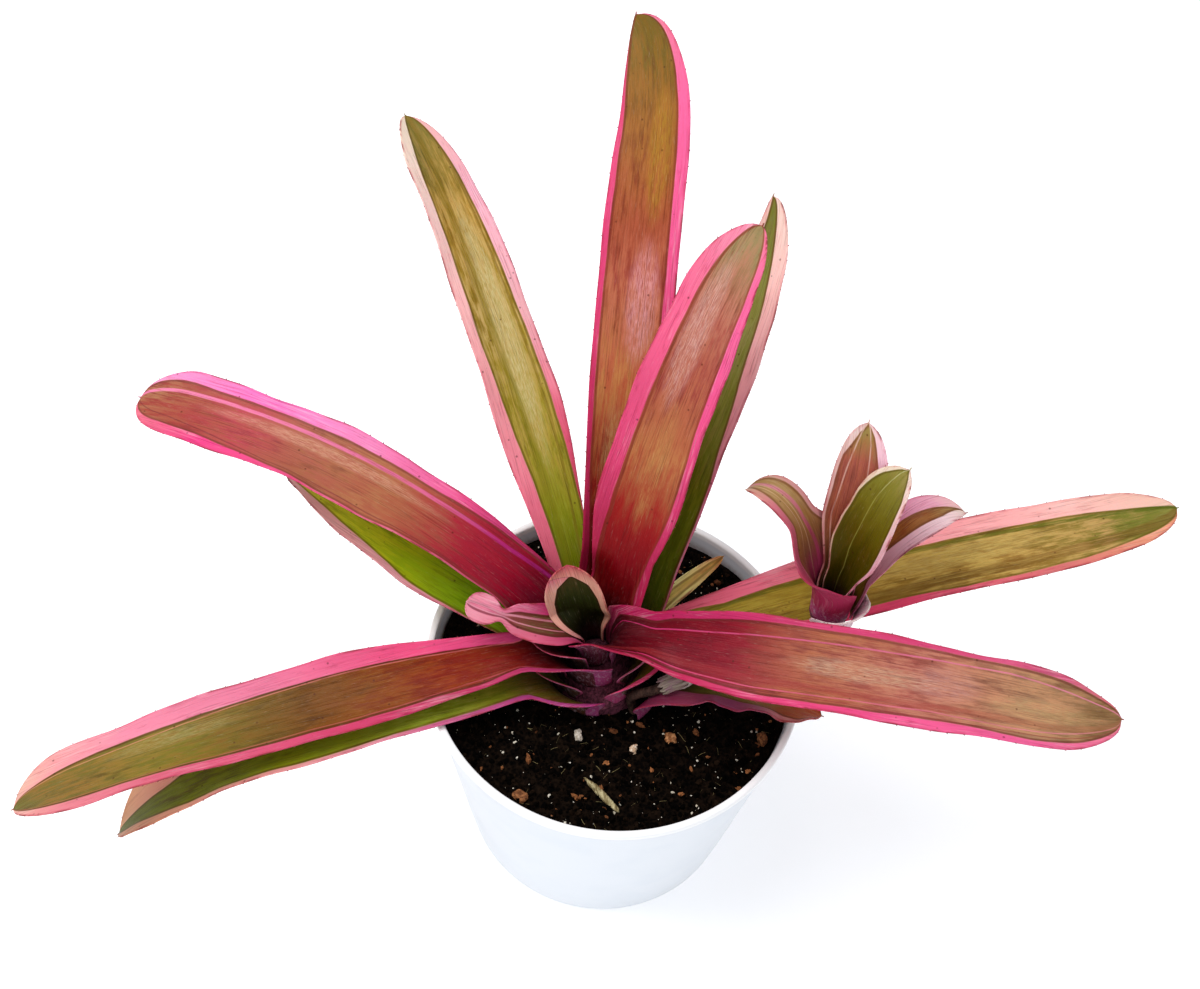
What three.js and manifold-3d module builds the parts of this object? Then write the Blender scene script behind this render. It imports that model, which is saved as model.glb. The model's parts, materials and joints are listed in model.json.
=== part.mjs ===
// Potted bromeliad: a strap-leaved rosette with one offset on a short runner, in a plain round pot.
// Millimetres, +Z up. The origin is the middle of the pot's underside.
import * as THREE from "three";
import { mergeVertices } from "three/addons/utils/BufferGeometryUtils.js";
import Module from "manifold-3d";

const wasm = await Module();
wasm.setup();

// Pot and soil
const POT_HEIGHT = 98;
const RIM_RADIUS = 63.5;
const RIM_HEIGHT = 2.6;
const MOUTH_RADIUS = 61;
const WALL_RADIUS_TOP = 62.3;
const BASE_RADIUS = 50;
const BASE_ROUND = 3;
const WALL = 1.3;
const FLOOR = 1.8;
const DRAIN_HOLES = 8;
const DRAIN_DIAMETER = 5.5;
const DRAIN_CIRCLE = 34;
const POT_SIDES = 56;
const SOIL_LEVEL = 90.2;
const SOIL_RELIEF = 0.7;
const GAP = 0.3;

// Leaf blades
const SHEATH_THICKNESS = 0.66;
const RIB_THICKNESS = 1.3;
const MARGIN_THICKNESS = 0.64;
const CHANNEL_AT_THROAT = 24;
const CHANNEL_AT_TIP = 13;

const rad = THREE.MathUtils.degToRad;
const mix = (a, b, f) => a + (b - a) * f;
const smooth = (x, a, b) => {
  const f = Math.min(Math.max((x - a) / (b - a), 0), 1);
  return f * f * (3 - 2 * f);
};

// Value at an azimuth of a ring of [azimuth, value] pairs, eased between them.
function around(pairs, azimuth) {
  const a = ((((azimuth - pairs[0][0]) % 360) + 360) % 360) + pairs[0][0];
  for (let i = 0; i < pairs.length; i++) {
    const [a0, v0] = pairs[i];
    const [a1, v1] = i + 1 < pairs.length ? pairs[i + 1] : [pairs[0][0] + 360, pairs[0][1]];
    if (a <= a1) return mix(v0, v1, smooth(a, a0, a1));
  }
  return pairs[0][1];
}

// The nest of leaf bases, the surfaces of which flare from an upright sheath to the blades.
// ring: radius of the outermost base; pitch: step in to the next; foot and step: height of the bases;
// flare and flareStep: arc over which a base opens; low and high: slope at the throat by azimuth,
// for the outermost and the innermost leaves.
const CROWN = {
  origin: [-5, -2, 91],
  lean: 8,
  toward: 165,
  ring: 17.5,
  pitch: 1.18,
  foot: 1.1,
  step: 1.3,
  flare: 12,
  flareStep: 1.1,
  lowest: 2,
  spread: 5,
  low: [
    [-90, 45],
    [-17, 8],
    [15, 8],
    [52, 36],
    [110, 38],
    [159, 20],
    [202, 1],
  ],
  high: [
    [-90, 60],
    [-18, 14],
    [15, 38],
    [61, 67],
    [76, 59],
    [110, 52],
    [155, 38],
    [197, 4],
  ],
};

const OFFSET = {
  origin: [66.7, 6, 129.5],
  lean: 0,
  toward: 0,
  ring: 7.2,
  pitch: 1.15,
  foot: 1,
  step: 1.2,
  flare: 9,
  flareStep: 1.2,
  lowest: 2,
  spread: 5,
  low: [
    [-90, 97],
    [-25, 84],
    [60, 65],
    [150, 65],
    [205, 78],
  ],
  high: [[-90, 90]],
};

// One row for each leaf. order: place in the nest, 0 is outermost; ring and foot: radius and height
// of its foot, where they are its own; drop: how far it runs down below its foot; rise: slope at the
// throat, where it is its own; throat: length over which the base opens; blend: length over which the
// nested base turns into the free blade; tip: slope at the tip; droop: how late the slope changes;
// bend: turn of the heading; rollIn and rollOut: turn about its own line at the throat and tip;
// sheath, neck, wide: half widths of the base, the blade's start and the blade; full: where the blade
// is widest; opens: where the sheath narrows, in throats; clasp: how much further one side of the
// sheath wraps; round, blunt, skew: length, fullness and lean of the tip; pinch and pinchAt: depth and
// place of a waist; channel and channelOut: half angle of the hollow at the throat and tip; wave and
// waves: height and number of the edge's waves; rows and cells: faces along and across.
const BIG = {
  sheath: 25,
  round: 0.13,
  blunt: 2.2,
  skew: 0,
  wave: 0.8,
  waves: 3,
  rows: 10,
  cells: 8,
  blend: 22,
  opens: [0.5, 1.2],
};
const LEAVES = [
  {
    name: "leaf_right_short",
    order: 0, ring: 21.5, foot: 0.3, drop: 2.6, azimuth: -17, length: 64, rise: 12,
    tip: -12, droop: 1.4, bend: 2, rollIn: -12, rollOut: -28,
    sheath: 14, neck: 10.5, wide: 10.5, full: 0.5, round: 0.3, blunt: 1.8, wave: 1.2, waves: 3,
  },
  {
    name: "leaf_left_low",
    order: 1, azimuth: 200.5, length: 162, rise: 4, drop: 2.2,
    tip: -40, droop: 2.4, bend: -4, rollIn: -19, rollOut: 12,
    neck: 9.8, wide: 12.8, full: 0.5, skew: 0.5,
  },
  {
    name: "leaf_right_back",
    order: 2, azimuth: 15, length: 194,
    tip: -2, droop: 1.1, bend: -1, rollIn: 20, rollOut: 5,
    neck: 7.7, wide: 13, full: 0.4, round: 0.26, skew: 0.2,
  },
  {
    name: "leaf_left_under",
    order: 3, azimuth: 159, length: 120,
    tip: 9, droop: 1.5, bend: -4, rollIn: -30, rollOut: 25,
    neck: 9, wide: 12.5, full: 0.45, round: 0.6, blunt: 1.5, skew: -0.6,
  },
  {
    name: "leaf_back_right_low",
    order: 4, azimuth: 53, length: 160,
    tip: 38, droop: 1.2, bend: 13, rollIn: 25, rollOut: -30,
    neck: 11.6, wide: 10.6, full: 0.4, round: 0.28, blunt: 1.5, skew: 0.9,
  },
  {
    name: "leaf_back_left",
    order: 5, azimuth: 110, length: 191,
    tip: 27, droop: 0.8, bend: 10.5, rollIn: 0, rollOut: 35,
    neck: 6.4, wide: 12.7, full: 0.4, round: 0.18, blunt: 2.1, skew: 0.2,
  },
  {
    name: "leaf_left_front",
    order: 6, azimuth: 197, length: 191,
    tip: -6, droop: 0.8, bend: 5, rollIn: -32, rollOut: 17,
    neck: 7.4, wide: 13.8, full: 0.4, skew: 0.3,
  },
  {
    name: "leaf_back",
    order: 7, azimuth: 75.5, length: 208, sheath: 14,
    tip: 36, droop: 1.2, bend: 9, rollIn: 30, rollOut: -35,
    neck: 9, wide: 13.2, full: 0.6, round: 0.2, blunt: 2, skew: 1,
  },
  {
    name: "leaf_left_back",
    order: 8, azimuth: 154, length: 179,
    tip: 0, droop: 0.8, bend: 13, rollIn: -5, rollOut: -1,
    opens: [0.35, 1.1], neck: 10.3, wide: 13.7, full: 0.5, round: 0.12, blunt: 2.4, wave: 1.1,
  },
  {
    name: "leaf_back_right",
    order: 9, azimuth: 53, length: 154, sheath: 12.5,
    tip: 46, droop: 1.2, bend: -7, rollIn: 34, rollOut: -12,
    neck: 7.8, wide: 13.9, full: 0.3, round: 0.26, skew: -0.15,
  },
  {
    name: "leaf_right_front",
    order: 10, azimuth: -20, length: 174,
    tip: -15, droop: 1.7, bend: 14, rollIn: 34, rollOut: -9,
    clasp: 0.65, neck: 9, wide: 13.9, full: 0.3, round: 0.2, blunt: 1.9, skew: 0.3, wave: 1,
  },
].map((row) => ({ ...BIG, ...row }));

const FINE = {
  neck: 6,
  wide: 9,
  full: 0.35,
  sheath: 9,
  round: 0.42,
  blunt: 2,
  skew: 0,
  wave: 0.3,
  waves: 2,
  rows: 6,
  cells: 6,
  blend: 22,
  opens: [0.5, 1.2],
};
const SMALL_LEAVES = [
  {
    name: "leaf_withered",
    order: 0, ring: 17.2, foot: 1.9, drop: 2.6, azimuth: 42, length: 47, rise: 15,
    tip: 0, droop: 1, bend: 0, rollIn: 20, rollOut: 35,
    sheath: 5, neck: 4, wide: 3.4, round: 0.7, blunt: 1.7, wave: 0.4,
  },
  {
    name: "leaf_heart_curled",
    order: 11, foot: 19.5, throat: 14, blend: 16, azimuth: 187, length: 45, rise: 22,
    tip: 30, droop: 1.3, bend: -18, rollIn: -35, rollOut: -26,
    sheath: 5.6, neck: 8.7, wide: 5, full: 0.55, round: 0.2, blunt: 3, pinch: 0.55, pinchAt: 0.6,
  },
  {
    name: "leaf_heart_arched",
    order: 12, foot: 18.4, throat: 9, blend: 9, azimuth: 125, length: 32.5, rise: 78,
    tip: 66, droop: 1, bend: 0, rollIn: -35, rollOut: -35,
    sheath: 8, opens: [0.3, 1], neck: 11.0, wide: 11, round: 0.6, blunt: 2.4, channel: 52, channelOut: 40,
  },
].map((row) => ({ ...FINE, ...row }));
const OFFSET_LEAVES = [
  {
    name: "offset_leaf_right",
    order: 0, azimuth: 40, length: 52.5, rise: 52,
    tip: 3, droop: 1.3, bend: -8, rollIn: -33, rollOut: 7,
    neck: 4.8, wide: 8, full: 0.5, skew: -0.8,
  },
  {
    name: "offset_leaf_left",
    order: 1, throat: 17, azimuth: 142, length: 56,
    tip: -55, droop: 2.4, bend: 3, rollIn: 11, rollOut: -1,
    sheath: 18, clasp: 1.8, opens: [1.2, 2.1], cells: 8, neck: 6.2, wide: 7, full: 0.3, skew: 0.5,
  },
  {
    name: "offset_leaf_back",
    order: 2, azimuth: 82, length: 65.5, rise: 73,
    tip: 58, droop: 1.2, bend: 3, rollIn: -6, rollOut: -36,
    neck: 5.6, wide: 9.4, full: 0.4, skew: 0.2,
  },
  {
    name: "offset_leaf_middle",
    order: 3, azimuth: 46, length: 61, rise: 83,
    tip: 54, droop: 1.7, bend: 2, rollIn: -6, rollOut: -26,
    neck: 7, wide: 10.2, full: 0.25, skew: -0.2,
  },
  {
    name: "offset_bract",
    order: -1, azimuth: -48, length: 15, rise: 66,
    tip: 50, droop: 1, bend: 0, rollIn: 0, rollOut: 0,
    sheath: 14, neck: 11, wide: 9, round: 0.9, blunt: 1.6,
  },
].map((row) => ({ ...FINE, ...row }));

const colour = (hex) => new THREE.Color(hex);

function named(name, geometry, hex, roughness = 0.5) {
  const material = new THREE.MeshStandardMaterial({ color: colour(hex), roughness });
  material.name = name;
  const mesh = new THREE.Mesh(geometry, material);
  mesh.name = name;
  return mesh;
}

function toSolid(geometry) {
  const bare = new THREE.BufferGeometry();
  bare.setAttribute("position", geometry.getAttribute("position"));
  if (geometry.index) bare.setIndex(geometry.index);
  const merged = mergeVertices(bare, 1e-4);
  return new wasm.Manifold(
    new wasm.Mesh({
      numProp: 3,
      vertProperties: new Float32Array(merged.attributes.position.array),
      triVerts: new Uint32Array(merged.index.array),
    }),
  );
}

function toGeometry(solid) {
  const mesh = solid.getMesh();
  const geometry = new THREE.BufferGeometry();
  geometry.setAttribute("position", new THREE.BufferAttribute(new Float32Array(mesh.vertProperties), 3));
  geometry.setIndex(new THREE.BufferAttribute(new Uint32Array(mesh.triVerts), 1));
  geometry.computeVertexNormals();
  return geometry;
}

// The largest separate piece of a solid.
function largest(solid) {
  const parts = solid.decompose();
  return parts.reduce((a, b) => (b.volume() > a.volume() ? b : a));
}

// Solid of revolution about Z from a closed list of [radius, height].
function turned(profile, sides) {
  const points = profile.map(([r, z]) => new THREE.Vector2(r, z));
  const geometry = new THREE.LatheGeometry(points, sides);
  geometry.rotateX(Math.PI / 2);
  return geometry;
}

// Closed plate about a grid of middle points, with a thickness at each.
function plate(grid, thickness) {
  const rows = grid.length;
  const cols = grid[0].length;
  const positions = [];
  const along = new THREE.Vector3();
  const across = new THREE.Vector3();
  for (const side of [1, -1])
    for (let i = 0; i < rows; i++)
      for (let j = 0; j < cols; j++) {
        along.subVectors(grid[Math.min(i + 1, rows - 1)][j], grid[Math.max(i - 1, 0)][j]);
        across.subVectors(grid[i][Math.min(j + 1, cols - 1)], grid[i][Math.max(j - 1, 0)]);
        const normal = along.cross(across).normalize();
        const p = grid[i][j].clone().addScaledVector(normal, (side * thickness(i, j)) / 2);
        positions.push(p.x, p.y, p.z);
      }
  const at = (side, i, j) => side * rows * cols + i * cols + j;
  const faces = [];
  for (let i = 0; i + 1 < rows; i++)
    for (let j = 0; j + 1 < cols; j++)
      for (const side of [0, 1]) {
        const quad = [at(side, i, j), at(side, i + 1, j), at(side, i + 1, j + 1), at(side, i, j + 1)];
        const [a, b, c, d] = side ? [quad[0], quad[3], quad[2], quad[1]] : quad;
        faces.push(a, b, c, a, c, d);
      }
  const wall = (i0, j0, i1, j1) => {
    const [a, b, c, d] = [at(0, i0, j0), at(0, i1, j1), at(1, i1, j1), at(1, i0, j0)];
    faces.push(a, c, b, a, d, c);
  };
  for (let i = 0; i + 1 < rows; i++) {
    wall(i, 0, i + 1, 0);
    wall(i + 1, cols - 1, i, cols - 1);
  }
  for (let j = 0; j + 1 < cols; j++) {
    wall(0, j + 1, 0, j);
    wall(rows - 1, j, rows - 1, j + 1);
  }
  const geometry = new THREE.BufferGeometry();
  geometry.setAttribute("position", new THREE.Float32BufferAttribute(positions, 3));
  geometry.setIndex(faces);
  geometry.computeVertexNormals();
  return geometry;
}

class Rosette {
  constructor(plan) {
    Object.assign(this, plan);
    const heading = new THREE.Vector3(Math.cos(rad(this.toward)), Math.sin(rad(this.toward)), 0);
    const axis = new THREE.Vector3(0, 0, 1).cross(heading);
    this.matrix = new THREE.Matrix4()
      .makeRotationAxis(axis, rad(this.lean))
      .setPosition(...this.origin);
  }

  ringOf(order) {
    return this.ring - this.pitch * order;
  }

  footOf(order) {
    return this.foot + this.step * order;
  }

  throatOf(leaf) {
    return leaf.throat ?? 2 + this.flare + this.flareStep * leaf.order;
  }

  slope(order, azimuth) {
    const share = Math.min(Math.max((order - this.lowest) / this.spread, 0), 1);
    return mix(around(this.low, azimuth), around(this.high, azimuth), share);
  }

  start(leaf) {
    return [leaf.ring ?? this.ringOf(leaf.order), leaf.foot ?? this.footOf(leaf.order)];
  }

  // Point of a leaf base's surface, an arc t above its foot at an azimuth.
  nest(leaf, t, azimuth) {
    const { order } = leaf;
    const exit = leaf.rise ?? this.slope(order, azimuth);
    const steps = 24;
    let [r, z] = this.start(leaf);
    if (t < 0) z += t;
    for (let i = 0; i < steps && t > 0; i++) {
      const s = (t * (i + 0.5)) / steps;
      const slope = rad(mix(87, exit, smooth(s, 2, this.throatOf(leaf))));
      r += (Math.cos(slope) * t) / steps;
      z += (Math.sin(slope) * t) / steps;
    }
    return new THREE.Vector3(r * Math.cos(rad(azimuth)), r * Math.sin(rad(azimuth)), z);
  }

  // Line of a leaf's middle: points, and the two directions across it, at close steps.
  line(leaf) {
    const throat = this.throatOf(leaf);
    const exit = leaf.rise ?? this.slope(leaf.order, leaf.azimuth);
    const [ring, foot] = this.start(leaf);
    const steps = 240;
    const stations = [];
    const p = new THREE.Vector3(ring * Math.cos(rad(leaf.azimuth)), ring * Math.sin(rad(leaf.azimuth)), foot);
    for (let i = 0; i <= steps; i++) {
      const t = (leaf.length * i) / steps;
      const u = Math.min(Math.max((t - throat) / (leaf.length - throat), 0), 1);
      const slope = rad(mix(87, exit, smooth(t, 2, throat)) + (leaf.tip - exit) * u ** leaf.droop);
      const heading = rad(leaf.azimuth + leaf.bend * u ** 1.3);
      const along = new THREE.Vector3(
        Math.cos(slope) * Math.cos(heading),
        Math.cos(slope) * Math.sin(heading),
        Math.sin(slope),
      );
      const side = new THREE.Vector3(-Math.sin(heading), Math.cos(heading), 0);
      const up = along.clone().cross(side);
      stations.push({ t, u, p: p.clone(), side, up });
      p.addScaledVector(along, leaf.length / steps);
    }
    return { throat, stations };
  }

  leaf(leaf) {
    const { throat, stations } = this.line(leaf);
    const sheathRows = leaf.cells > 6 ? 6 : 5;
    const ts = leaf.drop ? [-leaf.drop] : [];
    for (let i = 0; i < sheathRows; i++) ts.push((throat * i) / sheathRows);
    const tipStart = mix(throat, leaf.length, 1 - leaf.round);
    for (let i = 0; i <= leaf.rows; i++) ts.push(mix(throat, tipStart, i / leaf.rows));
    for (const f of [0.3, 0.56, 0.78, 0.93, 1]) ts.push(mix(tipStart, leaf.length, f));
    const grid = [];
    const shares = [];
    for (const t of ts) {
      const s = stations[Math.round((Math.max(t, 0) / leaf.length) * (stations.length - 1))];
      const toBlade = smooth(t, throat * 0.75, throat * 0.75 + leaf.blend);
      const roll = rad(mix(leaf.rollIn, leaf.rollOut, s.u)) * toBlade;
      const side = s.side.clone().multiplyScalar(Math.cos(roll)).addScaledVector(s.up, Math.sin(roll));
      const up = s.up.clone().multiplyScalar(Math.cos(roll)).addScaledVector(s.side, -Math.sin(roll));
      const sheath = leaf.sheath * (0.85 + 0.15 * smooth(t, 0, throat * 0.4));
      const blade = mix(leaf.neck, leaf.wide, smooth(s.u, -0.05, leaf.full));
      const pinch = 1 - (leaf.pinch ?? 0) * Math.exp(-(((s.u - leaf.pinchAt) / 0.09) ** 2));
      const opened = smooth(t, throat * leaf.opens[0], throat * leaf.opens[1]);
      const whole = mix(sheath, blade * (leaf.pinch ? pinch : 1), opened);
      const inTip = Math.max((s.u - (1 - leaf.round)) / leaf.round, 0);
      const width = whole * Math.sqrt(Math.max(1 - inTip ** leaf.blunt, 0.002));
      const shift = leaf.skew * (whole - width);
      const channel = rad(mix(leaf.channel ?? CHANNEL_AT_THROAT, leaf.channelOut ?? CHANNEL_AT_TIP, s.u));
      const curve = width / channel;
      const reach = Math.hypot(s.p.x, s.p.y);
      const wrap = Math.min(width / reach, 1.9);
      const clasp = mix(leaf.clasp ?? 1, 1, smooth(t, throat * 0.7, throat * 1.5));
      const row = [];
      for (let j = 0; j <= leaf.cells; j++) {
        const q = (2 * j) / leaf.cells - 1;
        const phase = q > 0 ? 0.9 : 2.4;
        const lift =
          leaf.wave *
          Math.abs(q) ** 3 *
          Math.sin(2 * Math.PI * leaf.waves * s.u + phase + leaf.order) *
          smooth(s.u, 0.08, 0.25) *
          (1 - smooth(s.u, 0.88, 1));
        const p = s.p
          .clone()
          .addScaledVector(side, shift + curve * Math.sin(q * channel))
          .addScaledVector(up, curve * (1 - Math.cos(q * channel)) + lift);
        if (toBlade < 1) {
          const turn = q * wrap * (q > 0 ? clasp : 1);
          const base = this.nest(leaf, t, leaf.azimuth + THREE.MathUtils.radToDeg(turn));
          p.lerp(base, 1 - toBlade);
        }
        row.push(p.applyMatrix4(this.matrix));
      }
      grid.push(row);
      shares.push({ u: s.u, toBlade });
    }
    return plate(grid, (i, j) => {
      const q = (2 * j) / leaf.cells - 1;
      const rib = mix(RIB_THICKNESS, MARGIN_THICKNESS, smooth(shares[i].u, 0.3, 1));
      return mix(SHEATH_THICKNESS, mix(rib, MARGIN_THICKNESS, q * q), shares[i].toBlade);
    });
  }
}

const plant = new THREE.Group();
plant.name = "potted_bromeliad";
const add = (name, geometry, hex, roughness) => plant.add(named(name, geometry, hex, roughness));

// Pot
const lip = POT_HEIGHT - RIM_HEIGHT;
let pot = toSolid(
  turned(
    [
      [0, 0],
      [BASE_RADIUS - BASE_ROUND, 0],
      [BASE_RADIUS - 0.9, 0.9],
      [BASE_RADIUS + 0.3, BASE_ROUND],
      [WALL_RADIUS_TOP, lip - 0.6],
      [RIM_RADIUS - 0.3, lip],
      [RIM_RADIUS, lip + 0.4],
      [RIM_RADIUS, POT_HEIGHT - 0.6],
      [RIM_RADIUS - 0.5, POT_HEIGHT],
      [MOUTH_RADIUS + 0.5, POT_HEIGHT],
      [MOUTH_RADIUS, POT_HEIGHT - 0.6],
      [BASE_RADIUS + 0.3 - WALL, BASE_ROUND + 0.6],
      [BASE_RADIUS - 2.4, FLOOR],
      [0, FLOOR],
    ],
    POT_SIDES,
  ),
);
for (let i = 0; i < DRAIN_HOLES; i++) {
  const a = rad((360 * i) / DRAIN_HOLES + 22.5);
  const hole = new THREE.CylinderGeometry(DRAIN_DIAMETER / 2, DRAIN_DIAMETER / 2, 8, 12);
  hole.rotateX(Math.PI / 2);
  hole.translate(DRAIN_CIRCLE * Math.cos(a), DRAIN_CIRCLE * Math.sin(a), 0);
  pot = pot.subtract(toSolid(hole));
}
add("pot", toGeometry(pot), 0xf2f3f4, 0.35);

// Crown stem, a low cone with one leaf base above another round it
const crown = new Rosette(CROWN);
const STEM_RADIUS = CROWN.ring - CROWN.pitch - SHEATH_THICKNESS / 2 - GAP - 0.3;
function stemSolid(grow) {
  const slope = CROWN.pitch / CROWN.step;
  const shoulder = CROWN.foot + CROWN.step;
  const top = CROWN.foot + CROWN.step * 12 + 1.5;
  const at = (z) => STEM_RADIUS + grow - (z - shoulder) * slope;
  const geometry = turned(
    [
      [0, -9 - grow],
      [STEM_RADIUS - 4 + grow, -9 - grow],
      [STEM_RADIUS + grow, -4],
      [STEM_RADIUS + grow, shoulder],
      [at(top), top],
      [at(top) - 1, top + 1.2],
      [0, top + 1.8],
    ],
    40,
  );
  geometry.applyMatrix4(crown.matrix);
  return toSolid(geometry);
}
add("crown_stem", toGeometry(stemSolid(0)), 0x6d4a3a, 0.8);

// Soil, filled to just under the rim
function soilSolid() {
  const rings = 6;
  const sides = 44;
  const share = (z) => (z - BASE_ROUND) / (POT_HEIGHT - BASE_ROUND);
  const wallAt = (z) => mix(BASE_RADIUS + 0.3 - WALL, MOUTH_RADIUS, share(z));
  const positions = [];
  const faces = [];
  const topRadius = wallAt(SOIL_LEVEL) - GAP - 0.15;
  const relief = (x, y) =>
    SOIL_RELIEF *
    (0.55 * Math.sin(x / 5.1 + 0.4) * Math.cos(y / 6.3 - 0.8) +
      0.3 * Math.sin((x + y) / 3.4 + 1.3) +
      0.25 * Math.cos((x - 1.6 * y) / 4.3));
  positions.push(0, 0, SOIL_LEVEL + relief(0, 0));
  for (let i = 1; i <= rings; i++)
    for (let j = 0; j < sides; j++) {
      const r = (topRadius * i) / rings;
      const a = (2 * Math.PI * (j + (i % 2) / 2)) / sides;
      const [x, y] = [r * Math.cos(a), r * Math.sin(a)];
      positions.push(x, y, SOIL_LEVEL + relief(x, y));
    }
  const foot = positions.length / 3;
  for (let j = 0; j < sides; j++) {
    const a = (2 * Math.PI * (j + (rings % 2) / 2)) / sides;
    const r = wallAt(BASE_ROUND + 1) - GAP - 0.15;
    positions.push(r * Math.cos(a), r * Math.sin(a), BASE_ROUND + 1);
  }
  const low = positions.length / 3;
  for (let j = 0; j < sides; j++) {
    const a = (2 * Math.PI * (j + (rings % 2) / 2)) / sides;
    const r = BASE_RADIUS - 3;
    positions.push(r * Math.cos(a), r * Math.sin(a), FLOOR + GAP);
  }
  const under = positions.length / 3;
  positions.push(0, 0, FLOOR + GAP);
  const at = (i, j) => 1 + (i - 1) * sides + (j % sides);
  for (let j = 0; j < sides; j++) {
    faces.push(0, at(1, j), at(1, j + 1));
    for (let i = 1; i < rings; i++) {
      const step = i % 2;
      faces.push(at(i, j), at(i + 1, j + step), at(i, j + 1));
      faces.push(at(i, j + (step ? 0 : 1)), at(i + 1, j + (step ? 0 : 0)), at(i + 1, j + 1));
    }
    const k = (j + 1) % sides;
    faces.push(at(rings, j), foot + j, foot + k, at(rings, j), foot + k, at(rings, k));
    faces.push(foot + j, low + j, low + k, foot + j, low + k, foot + k);
    faces.push(low + j, under, low + k);
  }
  const geometry = new THREE.BufferGeometry();
  geometry.setAttribute("position", new THREE.Float32BufferAttribute(positions, 3));
  geometry.setIndex(faces);
  return toSolid(geometry);
}
let soil = soilSolid().subtract(stemSolid(GAP));
const footRoom = new THREE.CylinderGeometry(LEAVES[0].ring + 0.9, LEAVES[0].ring + 0.9, 12, 40);
footRoom.rotateX(Math.PI / 2);
footRoom.translate(0, 0, 6 + LEAVES[0].foot - GAP);
footRoom.applyMatrix4(crown.matrix);
soil = soil.subtract(toSolid(footRoom));

// Chips that lie half sunk in the soil
const CHIPS = {
  bark_stick: { at: [-0.5, -46], size: [16.5, 2.6, 2.6], turn: -42, hex: 0xcdb98e },
  bark_chip_front: { at: [20.5, -23.5], size: [4.4, 4.6, 3], turn: 20, hex: 0xb98556 },
  bark_chip_right: { at: [51, -21], size: [4, 5.6, 3], turn: 10, hex: 0x8a5a34 },
  bark_chip_left: { at: [-26.8, -48.8], size: [5.4, 4.4, 3], turn: -20, hex: 0x9c6c43 },
  perlite_left: { at: [-10, -25.5], size: [3, 4.8, 3.2], turn: 10, hex: 0xd9d2c2 },
  perlite_middle: { at: [8.5, -29], size: [3, 4.4, 3.4], turn: -15, hex: 0xe0cdb0 },
};
// Lump of a chip's size, blunt at its ends, with uneven faces.
function chipSolid({ at, size, turn }, grow) {
  const geometry = new THREE.IcosahedronGeometry(0.5, 1);
  const position = geometry.getAttribute("position");
  const p = new THREE.Vector3();
  for (let i = 0; i < position.count; i++) {
    p.fromBufferAttribute(position, i);
    const rough = 1 + 0.16 * Math.sin(11 * p.x + 7 * at[0]) * Math.cos(13 * p.y - at[1]);
    const x = Math.sign(p.x) * 0.5 * (2 * Math.abs(p.x)) ** 0.7;
    position.setXYZ(
      i,
      x * rough * (size[0] + 2 * grow),
      p.y * rough * (size[1] + 2 * grow),
      p.z * rough * (size[2] + 2 * grow),
    );
  }
  geometry.rotateZ(rad(turn));
  geometry.translate(at[0], at[1], SOIL_LEVEL + 0.3);
  return toSolid(geometry);
}
for (const [name, chip] of Object.entries(CHIPS)) {
  soil = soil.subtract(chipSolid(chip, GAP + 0.05));
  add(name, toGeometry(chipSolid(chip, 0)), chip.hex, 0.9);
}
add("soil", toGeometry(largest(soil)), 0x241d1b, 0.95);

// Leaves of the main rosette
const LEAF_COLOURS = {
  leaf_right_short: 0x7f8f3a,
  leaf_left_low: 0x6f8f3c,
  leaf_right_back: 0x8c8a3e,
  leaf_left_under: 0x6f9a35,
  leaf_back_right_low: 0x79923a,
  leaf_back_left: 0x8b8f45,
};
for (const leaf of [...LEAVES, ...SMALL_LEAVES])
  add(leaf.name, crown.leaf(leaf), LEAF_COLOURS[leaf.name] ?? 0xa8554f, 0.4);

// Leaves of the offset, on its own short stem
const offset = new Rosette(OFFSET);
for (const leaf of OFFSET_LEAVES)
  add(leaf.name, offset.leaf(leaf), leaf.name.includes("bract") ? 0xd9b8c0 : 0xa0695f, 0.5);
const OFFSET_STEM_FOOT = -3.4;
const OFFSET_STEM_RADIUS = OFFSET.ring - SHEATH_THICKNESS / 2 - GAP - 0.25;
const offsetStem = turned(
  [
    [0, OFFSET_STEM_FOOT],
    [2.6, OFFSET_STEM_FOOT],
    [OFFSET_STEM_RADIUS - 0.6, -1],
    [OFFSET_STEM_RADIUS, OFFSET.foot],
    [OFFSET_STEM_RADIUS - OFFSET.pitch * 3.5, OFFSET.foot + OFFSET.step * 3.5],
    [0, OFFSET.foot + OFFSET.step * 3.5 + 0.8],
  ],
  20,
);
offsetStem.applyMatrix4(offset.matrix);
add("offset_stem", toGeometry(toSolid(offsetStem)), 0x9a6a70, 0.7);

// Runner, from beside the lowest right leaf's base to the foot of the offset
const RUNNER_RADIUS = 1.9;
const RUNNER_SIDE = STEM_RADIUS + GAP + RUNNER_RADIUS + 0.4;
const runnerFoot = (z) =>
  new THREE.Vector3(RUNNER_SIDE * Math.SQRT1_2, -RUNNER_SIDE * Math.SQRT1_2, z).applyMatrix4(crown.matrix);
const runnerPath = new THREE.CatmullRomCurve3([
  runnerFoot(-2),
  runnerFoot(7),
  new THREE.Vector3(13.5, -14.6, 105.8),
  new THREE.Vector3(19.5, -13, 110),
  new THREE.Vector3(28, -9.6, 112.5),
  new THREE.Vector3(38, -6.6, 115),
  new THREE.Vector3(48, -4.5, 117),
  new THREE.Vector3(58.5, -1.5, 120),
  new THREE.Vector3(64.5, 2.5, 122.6),
  new THREE.Vector3(OFFSET.origin[0], OFFSET.origin[1], OFFSET.origin[2] + OFFSET_STEM_FOOT - GAP - 1.7),
]);
const round = new THREE.Shape().absarc(0, 0, RUNNER_RADIUS, 0, 2 * Math.PI);
add(
  "runner",
  new THREE.ExtrudeGeometry(round, { extrudePath: runnerPath, steps: 19, curveSegments: 4 }),
  0x8f7f6c,
  0.8,
);

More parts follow.
